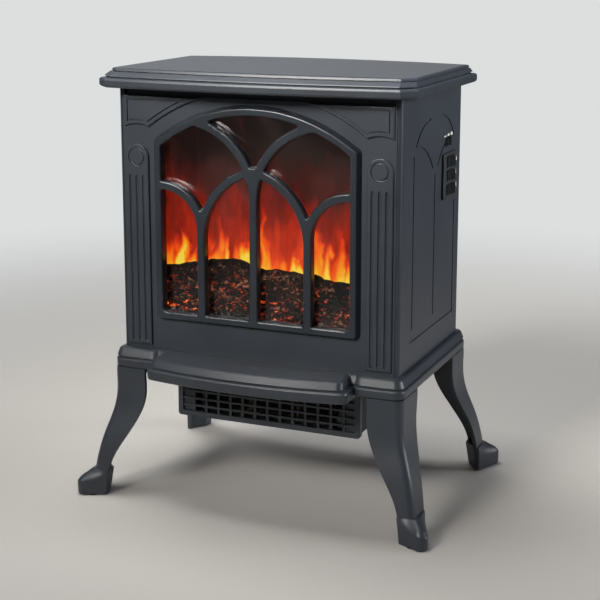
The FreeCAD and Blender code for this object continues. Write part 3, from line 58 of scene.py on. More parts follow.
def addNode(tree, kind, inputs=None, stops=None, **settings):
    node = tree.nodes.new("ShaderNode" + kind)
    for name, value in settings.items():
        setattr(node, name, value)
    for name, value in (inputs or {}).items():
        if isinstance(value, bpy.types.NodeSocket):
            tree.links.new(value, node.inputs[name])
        else:
            node.inputs[name].default_value = value
    if stops:
        ramp = node.color_ramp
        while len(ramp.elements) < len(stops):
            ramp.elements.new(0.5)
        for element, (place, colour) in zip(ramp.elements, stops):
            element.position = place
            element.color = linear(colour)
    return node


def startMaterial(name, sockets):
    material = bpy.data.materials.new(name)
    material.use_nodes = True
    tree = material.node_tree
    shader = tree.nodes["Principled BSDF"]
    for socket, value in sockets.items():
        shader.inputs[socket].default_value = value
    return material, tree, shader


def addMesh(name, points, faces, material):
    mesh = bpy.data.meshes.new(name)
    mesh.from_pydata([metres(*point) for point in points], [], faces)
    mesh.materials.append(material)
    piece = bpy.data.objects.new(name, mesh)
    bpy.context.scene.collection.objects.link(piece)
    return piece


cameraSetup = {  # three-quarter view from the right: metres and degrees, lens and sensor in mm
    "place": (0.7006, -1.6372, 0.6886), "tilt": 11.63, "turn": 22.92,
    "lens": 85.0, "sensor": 36.0, "rise": -0.1,
}


def placeCamera(setup):
    data = bpy.data.cameras.new("camera")
    data.lens = setup["lens"]
    data.sensor_width = setup["sensor"]
    data.shift_y = setup["rise"]
    camera = bpy.data.objects.new("camera", data)
    camera.location = setup["place"]
    camera.rotation_euler = (math.radians(90 - setup["tilt"]), 0, math.radians(setup["turn"]))
    bpy.context.scene.collection.objects.link(camera)
    bpy.context.scene.camera = camera


studio = {  # metres; the floor fades into the backdrop between the two fade distances
    "floorColour": "#b2afaa", "floorRoughness": 0.85, "floorHalf": 40.0, "fadeFrom": 0.45, "fadeTo": 1.9,
    "backdrop": "#dddfdf", "ambientColour": "#ffffff",
    "ambient": 0.12,   # light from all round, for rays that aren't seen
    "mirrored": 0.09,  # how bright gloss and glass see the backdrop: more would fog the window
    "lamps": [  # name, place, aim height, width, spread in degrees, power in watts, colour
        ("topLamp", (-0.4, 0.0, 2.2), 0.3, 0.9, 180, 42, "#ffffff"),
        ("keyLamp", (-0.6, -1.9, 1.7), 0.74, 0.9, 40, 7.4, "#fffaf4"),
        ("fillLamp", (2.2, 0.75, 1.1), 0.62, 1.1, 38, 4.4, "#f4f7ff"),
        ("backLamp", (-1.3, 2.7, 1.3), 0.55, 2.2, 60, 0.85, "#ffffff"),
    ],
}


def makeFloor(setup):
    half = setup["floorHalf"]
    corners = [(-half, -half, 0), (half, -half, 0), (half, half, 0), (-half, half, 0)]
    mesh = bpy.data.meshes.new("floor")
    mesh.from_pydata(corners, [], [(0, 1, 2, 3)])
    floor = bpy.data.objects.new("floor", mesh)
    bpy.context.scene.collection.objects.link(floor)
    material, tree, shader = startMaterial("matt painted studio floor", {
        "Roughness": setup["floorRoughness"], "Base Color": linear(setup["floorColour"])})
    place = addNode(tree, "TexCoord")
    away = addNode(tree, "VectorMath", {0: place.outputs["Object"]}, operation="LENGTH")
    fade = addNode(tree, "MapRange", {0: away.outputs["Value"], 1: setup["fadeFrom"], 2: setup["fadeTo"]},
                   interpolation_type="SMOOTHSTEP")
    path = addNode(tree, "LightPath")
    bright = addNode(tree, "MapRange", {0: path.outputs["Is Camera Ray"], 3: setup["mirrored"], 4: 1.0})
    haze = addNode(tree, "Emission", {"Color": linear(setup["backdrop"]), "Strength": bright.outputs[0]})
    both = addNode(tree, "MixShader", {0: fade.outputs[0], 1: shader.outputs[0], 2: haze.outputs[0]})
    tree.links.new(both.outputs[0], tree.nodes["Material Output"].inputs[0])
    mesh.materials.append(material)


def makeLamps(lamps):
    for name, place, aimHeight, width, spread, power, colour in lamps:
        data = bpy.data.lights.new(name, "AREA")
        data.size = width
        data.spread = math.radians(spread)
        data.energy = power
        data.color = linear(colour)[:3]
        lamp = bpy.data.objects.new(name, data)
        lamp.location = place
        aim = Vector((0, 0, aimHeight)) - lamp.location
        lamp.rotation_euler = aim.to_track_quat("-Z", "Y").to_euler()
        bpy.context.scene.collection.objects.link(lamp)


def makeWorld(setup):
    world = bpy.data.worlds.new("studio")
    bpy.context.scene.world = world
    world.use_nodes = True
    tree = world.node_tree
    tree.nodes.clear()
    path = addNode(tree, "LightPath")
    backdrop = linear(setup["backdrop"])
    around = linear(setup["ambientColour"])
    soft = addNode(tree, "Background", {"Color": around, "Strength": setup["ambient"]})
    mirror = addNode(tree, "Background", {"Color": backdrop, "Strength": setup["mirrored"]})
    pale = addNode(tree, "Background", {"Color": backdrop, "Strength": 1.0})
    seen = addNode(tree, "Math", {0: path.outputs["Is Glossy Ray"], 1: path.outputs["Is Transmission Ray"]},
                   operation="MAXIMUM")
    lit = addNode(tree, "MixShader", {0: seen.outputs[0], 1: soft.outputs[0], 2: mirror.outputs[0]})
    both = addNode(tree, "MixShader", {
        0: path.outputs["Is Camera Ray"], 1: lit.outputs[0], 2: pale.outputs[0]})
    addNode(tree, "OutputWorld", {0: both.outputs[0]})


bpy.context.scene.view_settings.view_transform = "Standard"
placeCamera(cameraSetup)
makeFloor(studio)
makeLamps(studio["lamps"])
makeWorld(studio)
print("camera, floor and lamps are in place")


def coordinates(tree, stretch=(1, 1, 1)):
    place = addNode(tree, "TexCoord")
    return addNode(tree, "Mapping", {"Vector": place.outputs["Object"], "Scale": stretch}).outputs[0]


def makeNoise(tree, size, detail, stretch=(1, 1, 1), distortion=0.0):
    return addNode(tree, "TexNoise", {
        "Vector": coordinates(tree, stretch), "Scale": perMetre(size),
        "Detail": detail, "Distortion": distortion}).outputs[0]


noiseLow = 0.3                                # nearly all of a noise texture's values lie between these
noiseHigh = 0.7
plainCoat = {                                 # what a finish has unless its own look says otherwise
    "metallic": 0.0, "ior": 1.5, "spread": 0.05, "stretch": (1, 1, 1),
    "cloudDetail": 3.0, "grainDetail": 2.0,
    "cellTint": 0.7, "cellRelief": 0.5,       # share of the cells in the colour and in the relief
}


def makeFinish(look):
    # mottled colour, varying gloss and a fine relief, sized in mm; cells add spangle, flakes or pores
    look = {**plainCoat, **look}
    roughness, spread = look["roughness"], look["spread"]
    material, tree, shader = startMaterial(look["name"], {
        "Roughness": roughness, "Metallic": look["metallic"], "IOR": look["ior"]})
    cloud = makeNoise(tree, look["cloud"], look["cloudDetail"], look["stretch"])
    grain = makeNoise(tree, look["grain"], look["grainDetail"], look["stretch"])
    tint, height = cloud, grain
    if "cells" in look:
        cells = addNode(tree, "TexVoronoi", {
            "Vector": coordinates(tree, look["stretch"]), "Scale": perMetre(look["cells"])})
        shade = addNode(tree, "SeparateColor", {0: cells.outputs["Color"]})
        tint = addNode(tree, "Mix", {0: look["cellTint"], 2: cloud, 3: shade.outputs[0]}).outputs[0]
        height = addNode(tree, "Mix", {
            0: look["cellRelief"], 2: grain, 3: cells.outputs["Distance"]}).outputs[0]
    colour = addNode(tree, "ValToRGB", {0: tint},
                     stops=[(noiseLow, look["dark"]), (noiseHigh, look["light"])])
    tree.links.new(colour.outputs[0], shader.inputs["Base Color"])
    gloss = addNode(tree, "MapRange", {0: cloud, 3: roughness - spread, 4: roughness + spread})
    tree.links.new(gloss.outputs[0], shader.inputs["Roughness"])
    relief = addNode(tree, "Bump", {
        "Height": height, "Strength": look["bump"], "Distance": look["depth"] / 1000})
    tree.links.new(relief.outputs[0], shader.inputs["Normal"])
    if "glow" in look:
        shader.inputs["Emission Color"].default_value = linear(look["glow"])
        shader.inputs["Emission Strength"].default_value = look["power"]
    return material


looks = {  # record slot, or the node that has a coat of its own; cloud, grain, cells and depth in mm
    # satin anthracite coat over the moulded shells: soft broad highlights and a faint orange peel
    "painted_shell": {
        "name": "anthracite satin powder coat on cast shells", "dark": "#2a2f36", "light": "#31373f",
        "roughness": 0.40, "spread": 0.02, "cloud": 70, "grain": 1.6, "bump": 0.22, "depth": 0.12},
    # the shell's anthracite coat, made glossier on the window frame for crisp lines of light along its edges;
    # its colour is darkened below the shell's as painted shade on the frame's faces
    "window_frame": {
        "name": "anthracite gloss enamel on the cast window frame", "dark": "#23282e", "light": "#292f36",
        "roughness": 0.28, "spread": 0.02, "cloud": 70, "grain": 1.6, "bump": 0.12, "depth": 0.08},
    # the satin coat on flat sheet: flatter and a little duller, with hardly any orange peel
    "painted_sheet": {
        "name": "anthracite satin powder coat on sheet steel", "dark": "#2a2f36", "light": "#30363d",
        "roughness": 0.42, "spread": 0.03, "cloud": 90, "grain": 1.2, "bump": 0.16, "depth": 0.1},
    # the body colour moulded in: duller than the coat
    "grille_plastic": {
        "name": "anthracite moulded nylon", "dark": "#272d33", "light": "#2d343a", "ior": 1.53,
        "roughness": 0.5, "cloud": 40, "grain": 0.7, "bump": 0.3, "depth": 0.08},
    # spangled zinc: grey crystals of slightly different brightness
    "zinc_sheet": {
        "name": "zinc-plated sheet steel with spangle", "dark": "#83888c", "light": "#b3b8bb",
        "metallic": 1.0, "roughness": 0.38, "spread": 0.08, "cloud": 30, "grain": 2.0, "cells": 12,
        "bump": 0.06, "depth": 0.05},
    # heat-resistant black: swallows the light inside the firebox
    "black_sheet": {
        "name": "matt black stove paint on sheet steel", "dark": "#0d0d0e", "light": "#141415",
        "roughness": 0.78, "cloud": 40, "grain": 0.8, "bump": 0.3, "depth": 0.08},
    # cold-rolled sheet: fine rolling lines drawn along X
    "bright_sheet": {
        "name": "bright cold-rolled steel sheet", "dark": "#989b9e", "light": "#aeb1b4",
        "metallic": 1.0, "roughness": 0.26, "cloud": 60, "grain": 1.5, "stretch": (0.03, 1, 1),
        "bump": 0.12, "depth": 0.03},
    # tempered strip: a dark blue-grey sheen
    "spring_steel": {
        "name": "blued spring steel clips", "dark": "#6d7076", "light": "#868a90", "metallic": 1.0,
        "roughness": 0.3, "cloud": 8, "grain": 0.6, "bump": 0.1, "depth": 0.03},
    # black oxide: dark heads with a dull glint
    "screw_steel": {
        "name": "blackened steel screws", "dark": "#2a2c2f", "light": "#3b3d41", "metallic": 1.0,
        "roughness": 0.45, "cloud": 5, "grain": 0.5, "bump": 0.2, "depth": 0.04},
    # moulded rubber: no gloss at all
    "pad_rubber": {
        "name": "black rubber feet", "dark": "#121314", "light": "#1b1c1d", "ior": 1.52,
        "roughness": 0.88, "cloud": 12, "grain": 0.8, "bump": 0.4, "depth": 0.1},
    # spark-eroded texture: a fine matt grain
    "black_plastic": {
        "name": "textured black ABS moulding", "dark": "#111214", "light": "#17181a", "ior": 1.54,
        "roughness": 0.56, "cloud": 30, "grain": 0.5, "bump": 0.35, "depth": 0.06},
    # polished tool surface: crisp reflections on the rockers and the thumb wheel
    "switch_plastic": {
        "name": "polished black nylon", "dark": "#0b0c0d", "light": "#101112", "ior": 1.53,
        "roughness": 0.24, "spread": 0.03, "cloud": 25, "grain": 0.8, "bump": 0.05, "depth": 0.02},
    # lacquer over copper: patches of two greens where the tracks run beneath
    "circuit_board": {
        "name": "green solder mask over copper tracks", "dark": "#0d3a1b", "light": "#1b5a2c",
        "roughness": 0.35, "cloud": 6, "grain": 0.5, "cells": 3.5, "bump": 0.15, "depth": 0.05},
    # cast epoxy with the diode lit: small warm beads of light
    "lamp_plastic": {
        "name": "lit amber epoxy lamps", "dark": "#d98a3a", "light": "#f0a858", "ior": 1.55,
        "roughness": 0.15, "cloud": 3, "grain": 0.5, "bump": 0.05, "depth": 0.02,
        "glow": "#ff8a2a", "power": 2.5},
    # crinkled foil: throws broken glints onto the flame screen
    "flag_foil": {
        "name": "embossed aluminium foil", "dark": "#c4c6c8", "light": "#dcddde", "metallic": 1.0,
        "roughness": 0.18, "cloud": 8, "grain": 2.2, "bump": 0.5, "depth": 0.3},
    # sintered metal: warm, dull and full of small pores
    "bearing_bronze": {
        "name": "sintered bronze bushes", "dark": "#6f5430", "light": "#96744a", "metallic": 1.0,
        "roughness": 0.6, "cloud": 4, "grain": 0.3, "cells": 0.4, "bump": 0.4, "depth": 0.05},
    # stacked sheets: thin lines across the motor's axis
    "motor_steel": {
        "name": "laminated motor steel", "dark": "#46494c", "light": "#6a6d70", "metallic": 1.0,
        "roughness": 0.45, "cloud": 2, "grain": 0.5, "stretch": (1, 0.05, 0.05), "bump": 0.5,
        "depth": 0.1},
    # rolled aluminium: pale grey with a faint grain along the wheel
    "wheel_aluminium": {
        "name": "mill-finish aluminium", "dark": "#9ea1a4", "light": "#b9bcbf", "metallic": 1.0,
        "roughness": 0.34, "cloud": 12, "grain": 0.8, "stretch": (0.1, 1, 1), "bump": 0.12,
        "depth": 0.03},
    # ground bar: bright, with fine rings around the shaft
    "shaft_steel": {
        "name": "ground steel shafts", "dark": "#9fa2a6", "light": "#b6b9bd", "metallic": 1.0,
        "roughness": 0.2, "cloud": 3, "grain": 0.3, "stretch": (1, 0.05, 0.05), "bump": 0.1,
        "depth": 0.01},
    # varnished wire laid side by side: copper-brown ribs
    "coil_brass": {
        "name": "enamelled copper winding", "dark": "#83401e", "light": "#b3622f", "metallic": 1.0,
        "roughness": 0.28, "cloud": 2, "grain": 0.45, "stretch": (1, 1, 0.1), "bump": 0.6, "depth": 0.2},
    # pressed flakes: a mottled sand colour with a slight pearl
    "mica_board": {
        "name": "pressed mica board", "dark": "#a4947a", "light": "#c4b59b", "ior": 1.58,
        "roughness": 0.48, "cloud": 10, "grain": 0.8, "cells": 3, "bump": 0.15, "depth": 0.05},
    # heated alloy: brown-grey oxide without shine
    "element_steel": {
        "name": "oxidised heating ribbon", "dark": "#564f49", "light": "#7a7068", "metallic": 1.0,
        "roughness": 0.52, "cloud": 6, "grain": 0.5, "bump": 0.2, "depth": 0.04},
    # plain moulding and ink: a warm white, half matt
    "white_plastic": {
        "name": "white moulded nylon", "dark": "#dddbd2", "light": "#e9e7df", "ior": 1.53,
        "roughness": 0.42, "cloud": 20, "grain": 0.6, "bump": 0.15, "depth": 0.04},
}
finishes = {slot: makeFinish(look) for slot, look in looks.items()}
print("plain finishes are mixed:", len(finishes))


paneGlass = {"colour": "#f4f6f4", "shadowTint": "#eef2f0", "ior": 1.5}  # clear, with sharp reflections


def makeGlass(look):
    # light passes straight through the pane, so the firebox behind it isn't left in its shadow
    material, tree, shader = startMaterial("toughened clear window glass", {
        "Base Color": linear(look["colour"]), "Roughness": 0.0, "IOR": look["ior"],
        "Transmission Weight": 1.0})
    path = addNode(tree, "LightPath")
    clear = addNode(tree, "BsdfTransparent", {"Color": linear(look["shadowTint"])})
    both = addNode(tree, "MixShader", {
        0: path.outputs["Is Shadow Ray"], 1: shader.outputs[0], 2: clear.outputs[0]})
    tree.links.new(both.outputs[0], tree.nodes["Material Output"].inputs[0])
    return material


finishes["window_glass"] = makeGlass(paneGlass)

flames = {  # heights and sizes in mm; heat runs from 0 for dark to 1 for yellow
    "base": "#0c0807", "roughness": 0.28, "ior": 1.49, "power": 1.0,
    # noise from broad bends to fine streaks: size, detail, scale along Z (under 1 draws it taller)
    "bend": (34.0, 1.0, 0.5), "curl": (13.0, 2.0, 0.6), "lick": (16.0, 1.0, 0.28), "streak": (7.0, 2.0, 0.22),
    "lickTwist": 0.6, "sway": 9.0, "curlShare": 1 / 3,
    # the veil is the ragged red curtain between the tongues, the glow is the even red light behind it
    "veilLow": 286.0, "veilHigh": 395.0, "veilFoot": 0.58, "veilTop": -0.50, "veilRuffle": 0.40,
    "lickShare": 0.6, "veilBlend": 0.10, "streaks": (0.88, 1.1),
    "glowLow": 290.0, "glowHigh": 465.0, "glowFoot": 0.56, "glowTop": 0.02, "glowPatches": (0.75, 1.2),
    # narrowing: a tongue's width at its foot over the width at its tip; edge: where it fades, in half widths
    "narrowing": 3.5, "edge": 1.5, "tipHeat": 0.1, "tongueHeat": 0.92, "tongueBlend": 0.08, "fireBlend": 0.14,
    # tongue: place across, foot, height, half width, lean, heat
    "tongues": [
        (-145, 278, 92, 26, -3, 0.90), (-129, 280, 86, 15, -6, 1.40), (-116, 280, 60, 15, 4, 1.25),
        (-102, 280, 98, 20, 5, 0.92), (-87, 280, 122, 16, 18, 1.02), (-76, 288, 70, 9, 8, 1.25),
        (-62, 280, 96, 18, 14, 0.95), (-48, 282, 80, 18, 3, 1.45), (-18, 280, 138, 14, -3, 1.08),
        (-6, 280, 108, 20, -12, 0.98), (10, 276, 72, 22, -14, 0.95), (27, 280, 80, 13, 6, 1.40),
        (57, 280, 128, 14, -3, 1.0), (68, 278, 86, 14, 3, 1.30), (84, 276, 118, 15, 2, 1.10),
        (93, 274, 80, 10, 2, 1.30), (104, 276, 96, 16, 6, 1.0), (120, 274, 106, 20, 4, 1.12),
        (140, 274, 90, 24, -4, 1.0)],
    "colours": [
        (0.0, "#090404"), (0.10, "#1d0a07"), (0.22, "#4a1109"), (0.34, "#8a1a08"), (0.46, "#c42a07"),
        (0.58, "#f4470a"), (0.72, "#ff7a14"), (0.88, "#ffab1c"), (1.0, "#ffdb48")],
}


def makeFlameScreen(look):
    # the screen is dark acrylic; the fire on it is light, drawn from soft tongues bent by noise
    material, tree, shader = startMaterial("frosted acrylic flame screen", {
        "Base Color": linear(look["base"]), "Roughness": look["roughness"], "IOR": look["ior"]})

    def maths(operation, *values):
        return addNode(tree, "Math", dict(enumerate(values)), operation=operation).outputs[0]

    def spread(value, low, high, least, most, kind="LINEAR"):
        return addNode(tree, "MapRange", {0: value, 1: low, 2: high, 3: least, 4: most},
                       interpolation_type=kind).outputs[0]

    def wander(texture, least, most):
        return spread(texture, noiseLow, noiseHigh, least, most)

    def tall(name, twist=0.0):
        size, detail, squash = look[name]
        return makeNoise(tree, size, detail, (1, 1, squash), twist)

    bend = tall("bend")
    curl = tall("curl")
    lick = tall("lick", look["lickTwist"])
    streak = tall("streak")
    place = addNode(tree, "SeparateXYZ", {0: coordinates(tree)})
    sway = look["sway"] / 1000
    side = sway * look["curlShare"]
    x = maths("ADD", place.outputs[0], wander(bend, -sway, sway))
    x = maths("ADD", x, wander(curl, -side, side))
    z = maths("ADD", place.outputs[2], wander(curl, -sway, sway))
    tongues = None
    for across, foot, height, half, lean, heat in look["tongues"]:
        rise = spread(z, foot / 1000, (foot + height) / 1000, 0, 1)
        axis = maths("MULTIPLY_ADD", rise, lean / 1000, across / 1000)
        away = maths("ABSOLUTE", maths("SUBTRACT", x, axis))
        share = maths("DIVIDE", away, spread(rise, 0, 1, half / 1000, half / 1000 / look["narrowing"]))
        body = spread(share, 0, look["edge"], heat, 0, "SMOOTHSTEP")
        tongue = maths("MULTIPLY", body, spread(rise, 0, 1, 1, look["tipHeat"], "SMOOTHSTEP"))
        tongues = tongue if tongues is None else maths("SMOOTH_MAX", tongues, tongue, look["tongueBlend"])
    glow = spread(z, look["glowLow"] / 1000, look["glowHigh"] / 1000, look["glowFoot"], look["glowTop"])
    glow = maths("MULTIPLY", glow, wander(bend, *look["glowPatches"]))
    veil = spread(z, look["veilLow"] / 1000, look["veilHigh"] / 1000, look["veilFoot"], look["veilTop"])
    ragged = maths("ADD", maths("MULTIPLY", lick, look["lickShare"]),
                   maths("MULTIPLY", streak, 1 - look["lickShare"]))
    veil = maths("ADD", veil, wander(ragged, -look["veilRuffle"] / 2, look["veilRuffle"] / 2))
    curtain = maths("SMOOTH_MAX", glow, veil, look["veilBlend"])
    fire = maths("SMOOTH_MAX", maths("MULTIPLY", tongues, look["tongueHeat"]), curtain, look["fireBlend"])
    fire = maths("MULTIPLY", fire, wander(streak, *look["streaks"]))
    colour = addNode(tree, "ValToRGB", {0: fire}, stops=look["colours"])
    tree.links.new(colour.outputs[0], shader.inputs["Emission Color"])
    shader.inputs["Emission Strength"].default_value = look["power"]
    return material


finishes["diffuser_plastic"] = makeFlameScreen(flames)
print("glass and flame screen are made")

embers = {  # heights and sizes in mm
    "roughness": 0.85, "ior": 1.52, "specular": 0.12,
    # noise: size, detail, scale along X (under 1 draws it longer)
    "bark": (10.0, 4.0, 0.25), "crumb": (4.0, 2.0, 1), "spark": (4.4, 2.0, 0.6), "patch": (20.0, 1.0, 1),
    "crumbShare": 0.45, "relief": 0.8, "reliefDepth": 1.5,
    "colours": [(0.36, "#030201"), (0.54, "#0c0604"), (0.66, "#341c11"), (0.80, "#8c5c44")],
    # sparks are the peaks of their noise; they come in patches and fade towards the crest
    "sparkTwist": 0.6, "sparkSpan": (0.53, 0.68), "patchSpan": (0.38, 0.60), "patchGlow": (0.15, 1.15),
    "low": 232.0, "high": 302.0, "heightGlow": (1.0, 0.12), "power": 1.25,
    "sparkColours": [
        (0.0, "#000000"), (0.12, "#200703"), (0.40, "#8a2408"), (0.70, "#e8641c"), (1.0, "#ffc070")],
}


def makeEmberPaint(look):
    # charred bark streaks along X, with orange light showing through the lower cracks
    material, tree, shader = startMaterial("painted translucent resin logs", {
        "Roughness": look["roughness"], "IOR": look["ior"], "Specular IOR Level": look["specular"]})

    def spread(value, span, result=(0.0, 1.0)):
        return addNode(tree, "MapRange", {
            0: value, 1: span[0], 2: span[1], 3: result[0], 4: result[1]}).outputs[0]

    def drawn(name, twist=0.0):
        size, detail, squash = look[name]
        return makeNoise(tree, size, detail, (squash, 1, 1), twist)

    both = addNode(tree, "Mix", {0: look["crumbShare"], 2: drawn("bark"), 3: drawn("crumb")}).outputs[0]
    colour = addNode(tree, "ValToRGB", {0: spread(both, (noiseLow, noiseHigh))}, stops=look["colours"])
    tree.links.new(colour.outputs[0], shader.inputs["Base Color"])
    relief = addNode(tree, "Bump", {
        "Height": both, "Strength": look["relief"], "Distance": look["reliefDepth"] / 1000})
    tree.links.new(relief.outputs[0], shader.inputs["Normal"])
    height = addNode(tree, "SeparateXYZ", {0: coordinates(tree)}).outputs[2]
    lit = spread(drawn("spark", look["sparkTwist"]), look["sparkSpan"])
    patches = spread(drawn("patch"), look["patchSpan"], look["patchGlow"])
    foot = spread(height, metres(look["low"], look["high"]), look["heightGlow"])
    for factor in (foot, patches):
        lit = addNode(tree, "Math", {0: lit, 1: factor}, operation="MULTIPLY").outputs[0]
    glow = addNode(tree, "ValToRGB", {0: lit}, stops=look["sparkColours"])
    tree.links.new(glow.outputs[0], shader.inputs["Emission Color"])
    shader.inputs["Emission Strength"].default_value = look["power"]
    return material


finishes["log_plastic"] = makeEmberPaint(embers)

for name, node in nodes.items():
    for index, old in enumerate(list(node.data.materials)):
        slot = "window_frame" if name == "window_frame" else old.name
        node.data.materials[index] = finishes[slot]
print("finishes are on the carried-over parts")


heap = {  # embers heaped in front of the flame screen, in mm
    "half": 152.0, "front": -99.5, "crest": -76.0, "rear": -61.0, "floor": 227.0,
    "slopeRows": 46, "slopeRun": 1.4, "slopeRise": 0.9,  # the powers bend the slope's profile
    "backRows": 8, "backFall": 2, "step": 2.0,
    "lump": 8.0, "lumpDepth": 2.4, "crumb": 3.0, "crumbDepth": 1.0, "squeeze": 1.3,
    "limits": ((-153, 153), (-100.8, -60), (226.5, 314.5)),  # X, Y and Z: nothing in the heap goes past these
    # the crest runs this far under the ridge: place across, height
    "sunk": 11.0,
    "ridge": [
        (-152, 290), (-131, 291), (-102, 302), (-85, 298), (-67, 303), (-52, 309), (-32, 304), (-14, 299),
        (0, 299), (23, 296), (41, 302), (57, 296), (83, 290), (93, 288), (110, 292), (130, 290), (152, 284)],
}


def crestHeight(bed, x):
    ridge = bed["ridge"]
    for (x0, z0), (x1, z1) in zip(ridge, ridge[1:]):
        if x <= x1:
            return z0 + (z1 - z0) * max(0.0, (x - x0) / (x1 - x0)) - bed["sunk"]
    return ridge[-1][1] - bed["sunk"]


def slopePoint(bed, x, t):
    # t runs from 0 at the foot of the slope to 1 at its crest
    y = bed["front"] + (bed["crest"] - bed["front"]) * t ** bed["slopeRun"]
    rise = math.sin(t * math.pi / 2) ** bed["slopeRise"]
    return x, y, bed["floor"] + (crestHeight(bed, x) - bed["floor"]) * rise


def insideHeap(bed, spot):
    return tuple(clamped(value, *limits) for value, limits in zip(spot, bed["limits"]))


def loopFaces(rings, size):
    # walls between rings of points, and a cap on the first ring and on the last
    faces = []
    for ring in range(rings - 1):
        for i in range(size):
            j = (i + 1) % size
            faces.append((ring * size + i, ring * size + j, (ring + 1) * size + j, (ring + 1) * size + i))
    faces.append(tuple(range(size - 1, -1, -1)))
    faces.append(tuple(range((rings - 1) * size, rings * size)))
    return faces


def makeEmberBed(bed):
    points = []
    rings = int(2 * bed["half"] / bed["step"]) + 1
    nearest = bed["limits"][1][0]
    highest = bed["limits"][2][1]
    for ring in range(rings):
        x = -bed["half"] + ring * bed["step"]
        for i in range(bed["slopeRows"]):
            t = i / (bed["slopeRows"] - 1)
            x, y, z = slopePoint(bed, x, t)
            spot = Vector((x, y * bed["squeeze"], z))
            push = bed["lumpDepth"] * noise.noise(spot / bed["lump"])
            push += bed["crumbDepth"] * noise.noise(spot / bed["crumb"])
            y = clamped(y - push, nearest, bed["rear"])
            points.append((x, y, clamped(z + push * t, bed["floor"], highest)))
        crest = crestHeight(bed, x)
        for i in range(bed["backRows"]):
            t = (i + 1) / bed["backRows"]
            y = bed["crest"] + (bed["rear"] - bed["crest"]) * t
            points.append((x, y, crest - (crest - bed["floor"]) * t ** bed["backFall"]))
    faces = loopFaces(rings, bed["slopeRows"] + bed["backRows"])
    return addMesh("ember_bed", points, faces, finishes["log_plastic"])


bark = {  # mm, depths as shares of the radius; each billet is shifted to a stretch of noise of its own
    "step": 2.0, "fewestRings": 5, "around": 20, "endWidth": 0.6, "taperRadii": 2,
    "knot": 14.0, "knotDepth": 0.2, "knotShift": 40,
    "furrowLength": 18.0, "furrowWidth": 0.4, "furrowRate": 1.5, "furrowDepth": 0.16, "furrowShift": 7,
}
billets = [  # the large ones, in mm: start, end, radius
    ((-152, -79, 282), (-92, -76, 292), 10), ((-112, -80, 290), (-40, -77, 300), 10.5),
    ((-60, -76, 302), (-2, -78, 289), 10), ((-24, -79, 290), (42, -77, 291), 9.5),
    ((20, -78, 290), (74, -79, 287), 10.5), ((62, -78, 284), (152, -76, 280), 10),
    ((-148, -87, 266), (-74, -86, 276), 8.5), ((-86, -87, 276), (-16, -87, 266), 9.5),
    ((-24, -87, 268), (50, -87, 272), 9), ((40, -87, 268), (132, -87, 264), 9),
]
twigs = {  # mm, strewn over the slope; lean in radians, slope from 0 at the foot to 1 at the crest
    "count": 95, "length": (16, 52), "radius": (2.2, 5.0), "margin": 16, "slope": (0.08, 0.98),
    "lift": 5.0, "liftFade": 0.6, "lean": 0.6, "skew": 0.12, "firstNumber": 20, "seed": 11,
}
coals = {  # mm, lumpy and wider than they are high
    "count": 110, "size": (2.0, 4.6), "margin": 6, "slope": (0.0, 0.7), "forward": 3,
    "width": 1.5, "lumps": 1.7, "lumpDepth": 0.5, "rings": 7, "around": 10, "seed": 7,
}


def makeBillet(look, bed, start, end, radius, number):
    along = (end - start).normalized()
    side = along.cross(Vector((0, 0, 1))).normalized()
    up = side.cross(along)
    rings = max(look["fewestRings"], int((end - start).length / look["step"]))
    width = look["furrowWidth"]
    points = []
    for ring in range(rings):
        middle = start + (end - start) * ring / (rings - 1)
        fromEnd = min(ring, rings - 1 - ring) * look["step"]
        taper = min(1.0, look["endWidth"] + fromEnd / (radius * look["taperRadii"]))
        for i in range(look["around"]):
            angle = 2 * math.pi * i / look["around"]
            place = Vector((middle.x / look["furrowLength"],
                            math.cos(angle) * width * radius + number * look["furrowShift"],
                            math.sin(angle) * width * radius))
            knot = noise.noise((middle + up * number * look["knotShift"]) / look["knot"])
            furrow = noise.noise(place * look["furrowRate"])
            reach = radius * taper * (1 + look["knotDepth"] * knot + look["furrowDepth"] * furrow)
            spot = middle + side * math.cos(angle) * reach + up * math.sin(angle) * reach
            points.append(insideHeap(bed, spot))
    return points, loopFaces(rings, look["around"])


def makeCoal(look, bed, centre, size, number):
    points = []
    for ring in range(look["rings"]):
        tilt = math.pi * (ring + 0.5) / look["rings"]
        for i in range(look["around"]):
            turn = 2 * math.pi * i / look["around"]
            way = Vector((math.sin(tilt) * math.cos(turn) * look["width"],
                          math.sin(tilt) * math.sin(turn), math.cos(tilt)))
            lump = 1 + look["lumpDepth"] * noise.noise(way * look["lumps"] + Vector((number, 0, 0)))
            points.append(insideHeap(bed, centre + way * size * lump))
    return points, loopFaces(look["rings"], look["around"])


def joinShapes(name, shapes, material):
    points, faces = [], []
    for some, joined in shapes:
        first = len(points)
        points += some
        faces += [tuple(first + corner for corner in face) for face in joined]
    return addMesh(name, points, faces, material)


def makeBillets(places, look, bed):
    pieces = []
    for number, (start, end, radius) in enumerate(places):
        shape = makeBillet(look, bed, Vector(start), Vector(end), radius, number)
        pieces.append(joinShapes(f"billet_{number + 1}", [shape], finishes["log_plastic"]))
    return pieces


def makeTwigs(look, barkLook, bed):
    draw = random.Random(look["seed"])
    reach = bed["half"] - look["margin"]
    shapes = []
    for number in range(look["count"]):
        length = draw.uniform(*look["length"])
        radius = draw.uniform(*look["radius"])
        t = draw.uniform(*look["slope"])
        middle = Vector(slopePoint(bed, draw.uniform(-reach, reach), t))
        middle += Vector((0, -look["lift"] * (1 - look["liftFade"] * t), look["lift"] * t))
        lean = draw.uniform(-look["lean"], look["lean"])
        skew = draw.uniform(-look["skew"], look["skew"])
        half = Vector((math.cos(lean), skew, math.sin(lean))) * length / 2
        shapes.append(makeBillet(
            barkLook, bed, middle - half, middle + half, radius, number + look["firstNumber"]))
    return joinShapes("twigs", shapes, finishes["log_plastic"])


